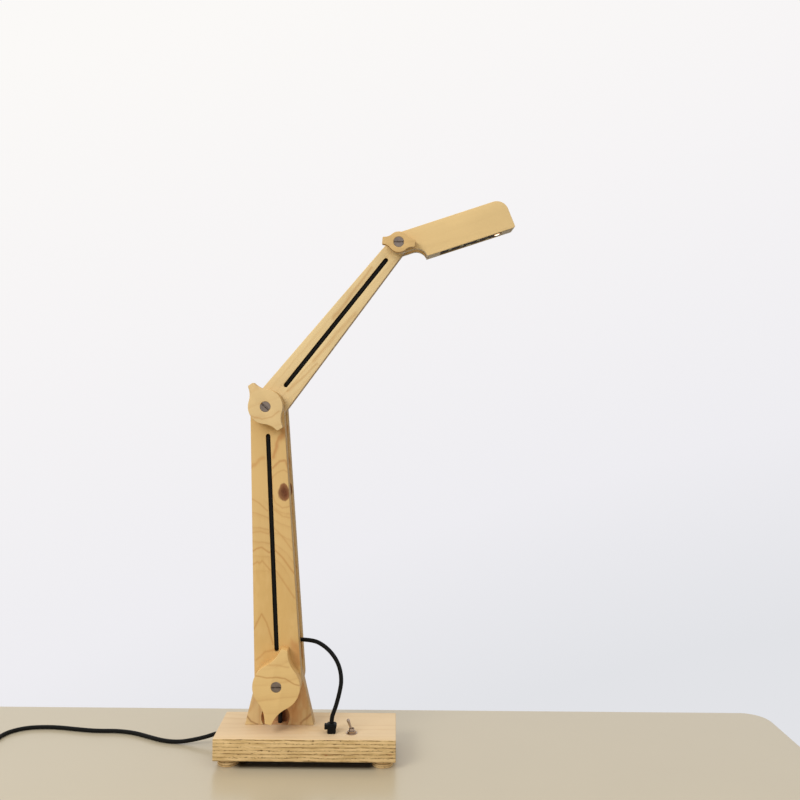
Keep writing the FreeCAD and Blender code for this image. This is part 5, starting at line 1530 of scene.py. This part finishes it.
@dataclass
class Pivot:
    """A winged knob with its countersunk screw in front, washer and nut behind."""

    turn: Turn
    centre: tuple[float, float]
    front: float
    rear: float
    radius: float
    reach: float
    tip: float
    flank: float
    depth: float
    wings: float
    slot: float
    wood: Finish
    carrier: str
    screw_radius: float = 5.7
    screw_depth: float = 3.2

    def build(self) -> None:
        """Build the knob, screw, washer and nut."""
        name = self.turn.value
        x, z = self.centre
        back = self.front - PLAN.knob_gap
        face = back - self.depth
        cosine, sine = math.cos(math.radians(self.wings)), math.sin(math.radians(self.wings))
        stand = Stand((x, back, z), (cosine, 0, sine), (-sine, 0, cosine), (0, -1, 0))
        seat = Pocket(circle((0, 0), self.screw_radius + 0.12, 9), self.screw_depth + 0.6,
                      0.2, 2.4)
        outline = winged(self.radius, self.reach, self.tip, self.flank)
        slab(stand, outline, self.depth, 0.5, (seat,), 4).mesh(
            f"{name}_winged_knob", f"{name}_knob", self.wood, f"{name}_knob", sharp=50)
        screw = screw_head((x, face + 0.1, z), (0, -1, 0), self.screw_radius, self.screw_depth,
                           1.3, self.slot)
        tail = self.rear + 1.2 + 5 + 1.5
        thread = np.arange(0, 7.0, 0.25)
        ridge = 2.78 + 0.2 * np.abs(np.mod(thread, 1.0) - 0.5) / 0.5
        profile = np.concatenate([[[0.05, face + 3.0], [2.95, face + 3.0], [2.95, tail - 8]],
                                  np.stack([ridge, thread + tail - 7.6], 1),
                                  [[2.3, tail], [0.05, tail]]])
        shank = turned((x, 0, z), (0, 1, 0), profile, 28)
        screw.take(shank)
        screw.mesh(f"{name}_slotted_screw", f"{name}_knob", Finish.SCREW,
                   f"{name}_pivot_bolt")
        ring = np.array([[3.1, 0], [5.9, 0], [6.0, 0.15], [6.0, 1.05], [5.9, 1.2], [3.1, 1.2]])
        hollow_turned((x, self.rear, z), (0, 1, 0), ring, 40).mesh(
            f"{name}_rear_washer", self.carrier, Finish.STEEL, f"{name}_pivot_washer")
        nut = np.array([[3.1, 0.1], [3.3, 0], [5.2, 0], [5.78, 0.5], [5.78, 4.5], [5.2, 5],
                        [3.3, 5], [3.1, 4.9]])
        hollow_turned((x, self.rear + 1.2, z), (0, 1, 0), nut, 48, 5.0).mesh(
            f"{name}_rear_nut", self.carrier, Finish.STEEL, f"{name}_pivot_nut", sharp=25)
        LOG.info("%s pivot built", name)


@dataclass
class Clamp:
    """Black block that grips the cable where it leaves the base, with a cable tie."""

    x: float = -35.2
    y: float = -20.0
    side: float = 9.0
    height: float = 10.5

    def build(self) -> None:
        """Build the block and the tie."""
        stand = Stand((self.x, self.y, PLAN.base_top), (1, 0, 0), (0, 1, 0), (0, 0, 1))
        half = self.side / 2
        soft = 1.4
        outline = joined(arc((half - soft, half - soft), soft, 0, 90, 20),
                         arc((-half + soft, half - soft), soft, 90, 180, 20),
                         arc((-half + soft, -half + soft), soft, 180, 270, 20),
                         arc((half - soft, -half + soft), soft, 270, 360, 20))
        slab(stand, outline, self.height, 0.9, (Pocket(circle((0, 0), 2.42), 2.0, 0.2),)).mesh(
            "cable_clamp_block", "base", Finish.PLASTIC, "cable_clamp")
        tie = Sheet()
        outer = inset(outline, -0.8)
        around = len(outline)
        low, high = PLAN.base_top + 6.0, PLAN.base_top + 9.5
        for ring, level in ((outer, low + 0.2), (outer, high - 0.2), (inset(outer, 0.25), high),
                            (outline, high), (outline, low), (inset(outer, 0.25), low)):
            tie.add(np.stack([ring[:, 0] + self.x, ring[:, 1] + self.y,
                              np.full(around, level)], 1), [], True)
        faces = ring_faces(6, around).tolist()
        index = np.arange(around)
        beside = (index + 1) % around
        seam = np.stack([5 * around + index, 5 * around + beside, beside, index], -1)
        tie.link(faces + seam.tolist(), True)
        head = Stand((self.x - half - 3.2, self.y, PLAN.base_top + 4.2), (0, -1, 0), (0, 0, 1),
                     (1, 0, 0))
        outline = np.array([[-2.5, 0], [2.5, 0], [2.5, 5.3], [-2.5, 5.3]])
        lock = slab(head, outline, 3.2, 0.5)
        tie.take(lock)
        tie.mesh("cable_tie_band", "base", Finish.PLASTIC, "cable_tie")
        LOG.info("clamp built")


@dataclass
class Switch:
    """Small toggle switch in the base's top."""

    x: float = -13.5
    y: float = -21.0
    pivot: float = 34.9
    lean: float = 19.0

    def build(self) -> None:
        """Build the neck, nut, washer and lever."""
        here = (self.x, self.y, 0.0)
        rise = np.arange(25.5, 37.1, 0.2)
        ridge = 2.82 + 0.18 * np.abs(np.mod(rise, 0.6) - 0.3) / 0.3
        outer = np.stack([ridge, rise], 1)
        neck = np.concatenate([outer, [[2.75, 37.5], [2.55, 37.5], [1.62, 34.9], [1.62, 33.2],
                                       [0.3, 33.2], [0.3, 25.5]]])
        hollow_turned(here, (0, 0, 1), neck, 36).mesh(
            "threaded_neck", "base", Finish.NICKEL, "switch_bushing")
        washer = np.array([[3.1, 32.0], [5.85, 32.0], [6.0, 32.15], [6.0, 32.6], [5.8, 32.8],
                           [3.1, 32.8]])
        hollow_turned(here, (0, 0, 1), washer, 44).mesh(
            "switch_face_washer", "base", Finish.NICKEL, "switch_washer")
        nut = np.array([[3.1, 32.8], [4.4, 32.8], [4.62, 33.0], [4.62, 34.5], [4.2, 34.8],
                        [3.1, 34.8]])
        hollow_turned(here, (0, 0, 1), nut, 48, 4.0).mesh(
            "switch_face_nut", "base", Finish.NICKEL, "switch_nut", sharp=25)
        sine, cosine = math.sin(math.radians(self.lean)), math.cos(math.radians(self.lean))
        ball = np.linspace(-math.pi / 2 + 0.05, math.pi / 2 - 0.8, 7)
        foot = np.stack([1.5 * np.cos(ball), 1.5 * np.sin(ball)], 1)
        tip = np.linspace(0, math.pi / 2 - 0.03, 8)
        end = np.stack([1.8 * np.cos(tip), 11.5 + 1.8 * np.sin(tip)], 1)
        profile = np.concatenate([foot, [[1.2, 1.9], [1.22, 4.0], [1.45, 8.0]], end])
        turned((self.x, self.y, self.pivot), (-sine, 0, cosine), profile, 32).mesh(
            "toggle_lever", "switch_lever", Finish.NICKEL, "switch_lever", sharp=60)
        dress("switch_body", Finish.PLASTIC)
        dress("terminal_block", Finish.PLASTIC)
        LOG.info("switch built")


def dress(node: str, which: Finish) -> None:
    """Give a CAD node that stays a finish of this scene."""
    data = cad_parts[node].data
    data.materials.clear()
    data.materials.append(finish(which))


@dataclass
class Cables:
    """The supply lead with its coil and plug, and the cable up the arms."""

    radius: float = 2.3
    lead_exit: tuple[float, float, float] = (-159.8, 24.0, 13.5)
    coil_middle: tuple[float, float] = (-457.8, 15.0)
    coil_inner: float = 17.0
    coil_pitch: float = 5.03
    coil_turns: int = 4
    base_x: float = -62.8
    route: tuple[tuple[float, float, float], ...] = (
        (-104, 24, 13.5), (-117, 24, 8.7), (-133, 24.2, 4.9), (-148, 24.8, 2.3),
        (-166, 27.5, 2.3), (-186, 38.5, 2.3), (-206, 50, 2.3), (-228, 55.5, 2.3),
        (-252, 54.5, 2.3), (-276, 59, 2.3), (-300, 64.5, 2.3), (-322, 65, 2.3),
        (-339, 61, 2.3))
    arm_loop: tuple[tuple[float, float, float], ...] = (
        (-9.5, 7.5, 124.4), (4.8, 5, 124.8), (17.3, -0.5, 120.2), (27.8, -5, 111.6),
        (35, -9, 100), (37.6, -12.5, 86), (35.6, -15.5, 74), (32.5, -18, 62),
        (30.2, -19.5, 55.5), (27.6, -20, 48.5), (27.6, -20, 42.5))

    def coil(self) -> np.ndarray:
        """Control points of the coil: in on the floor, up a layer, and out above it.

        Returns:
            The points, sixteen to a turn.
        """
        sweep = 2 * math.pi * 2 * self.coil_turns + math.pi
        angle = np.linspace(0, sweep, int(sweep / (2 * math.pi) * 16) + 1)
        past = angle - sweep / 2
        # a control polygon's line runs inside its corners by this share of the radius
        radius = self.coil_inner + self.coil_pitch * np.abs(past) / (2 * math.pi)
        radius = radius / (1 - (math.pi / 16) ** 2 / 4)
        climb = np.clip(past / math.pi + 0.5, 0, 1)
        return np.stack([self.coil_middle[0] + radius * np.cos(angle),
                         self.coil_middle[1] - radius * np.sin(angle),
                         self.radius + self.coil_pitch * climb], 1)

    def build(self) -> None:
        """Build every cable and what is on it."""
        self.supply()
        self.loops()
        self.grooved()
        self.hidden()
        LOG.info("cables built")

    def supply(self) -> None:
        """The lead from the base's end to its coil and plug."""
        wound = self.coil()
        outer = self.coil_inner + self.coil_pitch * (self.coil_turns + 0.25)
        entry = np.array([self.coil_middle[0] + outer, self.coil_middle[1], self.radius])
        last = np.array([self.coil_middle[0] - outer, self.coil_middle[1],
                         self.radius + self.coil_pitch])
        table = np.asarray(self.route, float) + (self.base_x, 0, 0)
        before = np.array([entry + (4.4, 34.0, 0), entry + (0.2, 18.5, 0),
                           entry + (0, 4.6, 0)])
        points = np.concatenate([[self.lead_exit], table, before, wound[1:-1],
                                 [last, last + (0, 4.6, 0)]])
        lead = spline([tuple(point) for point in points], "supply_lead_cord", self.radius)
        lead.data.resolution_u = 4
        lead.data.materials.append(finish(Finish.CABLE))
        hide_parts("supply_lead", "lead_coil")
        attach(lead, "base")
        plug = self.plug(last + (0, 4.6, 0))

    def plug(self, start: np.ndarray) -> list[bpy.types.Object]:
        """The plug's ribbed strain relief and grip, and its barrel.

        Args:
            start: Where the cable enters the relief.

        Returns:
            The grip and the barrel.
        """
        along = np.linspace(0, 14, 57)
        relief = 2.6 + 1.4 * along / 14 - 0.45 * (np.sin(along * 2 * math.pi / 2.8) > 0.3)
        grip = np.linspace(0, 25, 60)
        body = 5.5 - 0.9 * np.exp(-grip / 1.4) - 0.35 * (
            (np.sin(grip * 2 * math.pi / 2.4) > 0.2) & (grip > 5) & (grip < 19))
        body = body - 0.8 * np.clip((grip - 24) / 1.0, 0, 1)
        profile = np.concatenate([[[0.05, 0]], np.stack([relief, along], 1),
                                  np.stack([body, grip + 14], 1), [[0.05, 39]]])
        plug = turned(tuple(start), (0, 1, 0), profile, 40).mesh(
            "plug_grip", "base", Finish.PLASTIC, "plug_body")
        front = np.array([[2.75, 0], [2.75, 8.9], [2.5, 9.5], [1.2, 9.5], [1.05, 9.2],
                          [1.05, 1.0], [0.3, 1.0], [0.3, 0]])
        barrel = hollow_turned(tuple(start + (0, 39, 0)), (0, 1, 0), front, 36).mesh(
            "plug_tip", "base", Finish.NICKEL, "plug_barrel")
        return [plug, barrel]

    def loop(self, name: str, points: list[tuple[float, float, float]],
             guide: tuple[float, float, float], bodies: tuple[str, str], node: str) -> None:
        """A free loop of cable between two bodies.

        Args:
            name: The piece's name.
            points: The route's control points.
            guide: A direction that the route never takes.
            bodies: Not used.
            node: The CAD node that it replaces.
        """
        path = line_points(points, f"{name}_line")
        piece = tube(path, self.radius, guide).mesh(name, "", Finish.CABLE, node)
        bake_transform(piece)

    def loops(self) -> None:
        """The loops at the post, the elbow and the head's neck."""
        moved = [(x + self.base_x, y, z) for x, y, z in self.arm_loop]
        self.loop("arm_cable_bow", moved[::-1], (0, 1, 0), ("base", "lower_arm"),
                  "arm_cable_loop")
        low = PLAN.along(PLAN.lower_pivot, PLAN.lower_angle, 268.0)
        high = PLAN.along(PLAN.elbow, PLAN.upper_angle, 30.0)
        steps = [(0, 0, 0), (0, 10, 0), (-2.2, 19.5, 6.5), (-4.2, 25.5, 18)]
        points = [(low[0] + x, PLAN.lower_rear + y, low[1] + z) for x, y, z in steps]
        steps = [(-17, 40, -24), (-8.5, 32.5, -9.5), (-2, 22, -1.5), (0, 11, 0), (0, 0, 0)]
        points += [(high[0] + x, PLAN.board + y, high[1] + z) for x, y, z in steps]
        self.loop("elbow_cable_bow", points, (1, 0, 0), ("lower_arm", "upper_arm"),
                  "elbow_cable_loop")
        start = PLAN.along(PLAN.elbow, PLAN.upper_angle, 206.5)
        points = [(start[0], PLAN.board, start[1]), (start[0], PLAN.board + 8.5, start[1])]
        for far, up, y in ((-16.5, -10.4, 31.5), (-9.5, -5.2, 38.5), (2.5, 0.6, 43.5),
                           (17, 2.8, 46), (31, 1.6, 45.4), (40.5, -0.6, 40.8),
                           (46, -2, 32), (46, -2, 21.75)):
            x, z = PLAN.along(PLAN.head_pivot, PLAN.head_angle, far, up)
            points.append((x, y, z))
        self.loop("head_cable_bow", points, (-0.32, 0, 0.95), ("upper_arm", "head"),
                  "head_cable_loop")

    def grooved(self) -> None:
        """The cable in the arms' grooves, with its ends through the boards."""
        y = PLAN.lower_front + 5.2 - 0.1 - self.radius
        low = PLAN.along(PLAN.lower_pivot, PLAN.lower_angle, 36.0)
        high = PLAN.along(PLAN.lower_pivot, PLAN.lower_angle, 268.0)
        bow = np.asarray(self.arm_loop, float) + (self.base_x, 0, 0)
        into = bow[0] - (bow[1] - bow[0]) * 0.85
        points = [tuple(bow[0]), tuple(into), (low[0], into[1] - 0.8, low[1]),
                  (low[0], y + 3.2, low[1]), (low[0], y + 0.4, low[1] + 0.4),
                  (low[0], y, low[1] + 3.2)]
        ahead = (math.cos(math.radians(PLAN.lower_angle)), math.sin(math.radians(
            PLAN.lower_angle)))
        for far in (12.0, 60.0, 116.0, 172.0, 220.0, 228.8):
            points.append((low[0] + far * ahead[0], y, low[1] + far * ahead[1]))
        points += [(high[0], y + 0.4, high[1] - 0.4), (high[0], y + 3.2, high[1]),
                   (high[0], 8.0, high[1]), (high[0], PLAN.lower_rear, high[1])]
        path = line_points(points, "lower_groove_line")
        tube(path, self.radius, (1, 0.02, 0.3)).mesh(
            "lower_groove_cable", "lower_arm", Finish.CABLE, "lower_arm_cable")
        y = 5.2 - 0.1 - self.radius
        low = PLAN.along(PLAN.elbow, PLAN.upper_angle, 30.0)
        high = PLAN.along(PLAN.elbow, PLAN.upper_angle, 206.5)
        ahead = (math.cos(math.radians(PLAN.upper_angle)), math.sin(math.radians(
            PLAN.upper_angle)))
        points = [(low[0], PLAN.board, low[1]), (low[0], y + 3.2, low[1]),
                  (low[0] + 0.4 * ahead[0], y + 0.4, low[1] + 0.4 * ahead[1])]
        for far in (3.2, 12.0, 50.0, 88.0, 126.0, 164.5, 173.3):
            points.append((low[0] + far * ahead[0], y, low[1] + far * ahead[1]))
        points += [(high[0] - 0.4 * ahead[0], y + 0.4, high[1] - 0.4 * ahead[1]),
                   (high[0], y + 3.2, high[1]), (high[0], PLAN.board, high[1])]
        path = line_points(points, "upper_groove_line")
        tube(path, self.radius, (ahead[1], 0, -ahead[0])).mesh(
            "upper_groove_cable", "upper_arm", Finish.CABLE, "upper_arm_cable")

    def hidden(self) -> None:
        """The pieces of cable inside the base and the head keep their CAD shape."""
        for node in ("lead_inner", "arm_cable_inner", "head_cable_inner"):
            dress(node, Finish.CABLE)


# --- studio ----------------------------------------------------------------------------

@dataclass
class Studio:
    """Camera, pale table and plain soft light."""

    camera_place: tuple[float, float, float] = (30.7, -948.0, 397.8)
    focal: float = 38.7
    shift: tuple[float, float] = (0.0055, -0.00725)
    roll: float = 0.5
    table_back: float = 138.0
    table_right: float = 497.0
    table_corner: float = 30.0
    table_colour: Colour = (191, 179, 153)
    sky: tuple[tuple[float, Colour], ...] = (
        (0.0, (226, 227, 231)), (0.25, (238, 237, 241)), (0.66, (246, 244, 245)),
        (1.0, (251, 249, 247)))
    fill: tuple[float, float] = (0.26, 1.0)

    def build(self) -> None:
        """Set up the view, the light and the table."""
        self.camera()
        self.table()
        self.world()
        self.lamps()
        scene = bpy.context.scene
        scene.view_settings.view_transform = "Standard"
        LOG.info("studio built")

    def camera(self) -> None:
        """The photograph's own viewpoint."""
        data = bpy.data.cameras.new("photo_view")
        data.lens = self.focal
        data.sensor_width = 36.0
        data.shift_x, data.shift_y = self.shift
        data.clip_end = 50.0
        view = bpy.data.objects.new("photo_view", data)
        view.location = [value * MM for value in self.camera_place]
        view.rotation_euler = (math.pi / 2, -math.radians(self.roll), 0)
        bpy.context.scene.collection.objects.link(view)
        bpy.context.scene.camera = view

    def table(self) -> None:
        """A plain pale slab whose top is the floor of the part, with a painted shadow under the
        base.
        """
        stand = Stand((0, 0, -30), (1, 0, 0), (0, 1, 0), (0, 0, 1))
        right, back, soft = self.table_right, self.table_back, self.table_corner
        outline = joined(np.array([[-1500.0, -1600.0], [right, -1600.0]]),
                         arc((right - soft, back - soft), soft, 0, 90, 6),
                         np.array([[-1500.0, back]]))
        sheet = slab(stand, outline, 29.9, 3.0)
        data = bpy.data.meshes.new("table_top")
        data.from_pydata((np.concatenate(sheet.points) * MM).tolist(), [], sheet.faces)
        graph = Graph("pale_table")
        local = graph.placed((0, 0, 0), Euler((0, 0, 0)))
        cloud = graph.noise(local, scale=0.01, detail=2)
        low = tuple(value * 0.985 for value in self.table_colour)
        x, y, _ = graph.split(local)
        # painted shadow: the table's colour turns deep brown under the base's footprint, between
        # its feet
        half_x, half_y = Base.length / 2 - 20, Base.width / 2
        under = graph.math("MULTIPLY", *(graph.math(
            "MULTIPLY_ADD", graph.math("ABSOLUTE", graph.math("SUBTRACT", value, middle)),
            -0.12, half * 0.12, clamp=True)
            for value, middle, half in ((x, PLAN.base_x, half_x), (y, 0.0, half_y))))
        colour = graph.between(cloud, linear(self.table_colour), linear(low))
        graph.feed(graph.shader.inputs["Base Color"],
                   graph.between(under, colour, linear((56, 43, 28))))
        graph.shader.inputs["Roughness"].default_value = 0.28
        graph.shader.inputs["Specular IOR Level"].default_value = 1.0
        data.materials.append(graph.material)
        table = bpy.data.objects.new("table_top", data)
        bpy.context.scene.collection.objects.link(table)

    def world(self) -> None:
        """Even fill light, and a pale backdrop for what the camera sees directly."""
        world = bpy.data.worlds.new("studio_air")
        bpy.context.scene.world = world
        world.use_nodes = True
        tree = world.node_tree
        tree.nodes.clear()
        output = tree.nodes.new("ShaderNodeOutputWorld")
        coordinates = tree.nodes.new("ShaderNodeTexCoord")
        split = tree.nodes.new("ShaderNodeSeparateXYZ")
        tree.links.new(coordinates.outputs["Generated"], split.inputs[0])

        def sum_of(first: object, factor: float, last: object) -> bpy.types.NodeSocket:
            """First times a factor plus last, kept between 0 and 1."""
            node = tree.nodes.new("ShaderNodeMath")
            node.operation = "MULTIPLY_ADD"
            node.use_clamp = factor > 0
            for socket, value in zip(node.inputs, (first, factor, last)):
                if isinstance(value, bpy.types.NodeSocket):
                    tree.links.new(value, socket)
                else:
                    socket.default_value = value
            return node.outputs[0]

        low, high = self.fill
        fill = tree.nodes.new("ShaderNodeBackground")
        fill.inputs[0].default_value = (1.0, 0.985, 0.97, 1)
        tree.links.new(sum_of(split.outputs[2], high - low, low), fill.inputs[1])
        seen = tree.nodes.new("ShaderNodeBackground")
        ramp = tree.nodes.new("ShaderNodeValToRGB")
        elements = ramp.color_ramp.elements
        while len(elements) < len(self.sky):
            elements.new(0.5)
        for element, (position, colour) in zip(elements, self.sky):
            element.position = position
            element.color = linear(colour)
        lift = sum_of(split.outputs[2], 1.2, sum_of(split.outputs[0], -0.4, 0.45))
        tree.links.new(lift, ramp.inputs[0])
        tree.links.new(ramp.outputs[0], seen.inputs[0])
        rays = tree.nodes.new("ShaderNodeLightPath")
        either = tree.nodes.new("ShaderNodeMath")
        either.operation = "MAXIMUM"
        three = tree.nodes.new("ShaderNodeMath")
        three.operation = "MAXIMUM"
        tree.links.new(rays.outputs["Is Camera Ray"], either.inputs[0])
        tree.links.new(rays.outputs["Is Glossy Ray"], either.inputs[1])
        tree.links.new(either.outputs[0], three.inputs[0])
        tree.links.new(rays.outputs["Is Transmission Ray"], three.inputs[1])
        mix = tree.nodes.new("ShaderNodeMixShader")
        tree.links.new(three.outputs[0], mix.inputs[0])
        tree.links.new(fill.outputs[0], mix.inputs[1])
        tree.links.new(seen.outputs[0], mix.inputs[2])
        tree.links.new(mix.outputs[0], output.inputs[0])

    def lamps(self) -> None:
        """A large soft window light from the upper left and a weak one from the right."""
        for name, place, aim, size, power in (
                ("window_light", (-1.3, -1.5, 1.6), (0, 0, 0.3), 1.1, 30.0),
                ("room_light", (1.5, -1.1, 1.7), (0, 0, 0.3), 1.6, 6.0)):
            data = bpy.data.lights.new(name, "AREA")
            data.energy = power
            data.size = size
            lamp = bpy.data.objects.new(name, data)
            lamp.location = place
            lamp.visible_glossy = False
            away = Vector(aim) - Vector(place)
            lamp.rotation_euler = away.to_track_quat("-Z", "Y").to_euler()
            bpy.context.scene.collection.objects.link(lamp)


def pivots() -> list[Pivot]:
    """The three clamped pivots with their own sizes."""
    return [
        Pivot(Turn.LOWER, PLAN.lower_pivot, PLAN.lower_front, PLAN.lower_rear, 25.6, 40.8, 7.5,
              32.0, 15.0, 78.1, 2.0, Finish.LOWER_KNOB, "lower_arm"),
        Pivot(Turn.ELBOW, PLAN.elbow, PLAN.lower_front, PLAN.lower_rear, 18.7, 28.9, 7.1,
              22.0, 12.0, 124.0, -41.0, Finish.ELBOW_KNOB, "lower_arm"),
        Pivot(Turn.HEAD, PLAN.head_pivot, PLAN.head_front, PLAN.head_rear, 11.3, 17.9, 8.0,
              12.0, 9.0, -5.0, 0.0, Finish.HEAD_KNOB, "head"),
    ]


def main() -> None:
    """Build the studio and every sub-assembly."""
    Studio().build()
    Cables().build()
    Base().build()
    Post().build()
    Arms().build()
    Head().build()
    for pivot in pivots():
        pivot.build()
    Clamp().build()
    Switch().build()


if __name__ == "__main__":
    main()
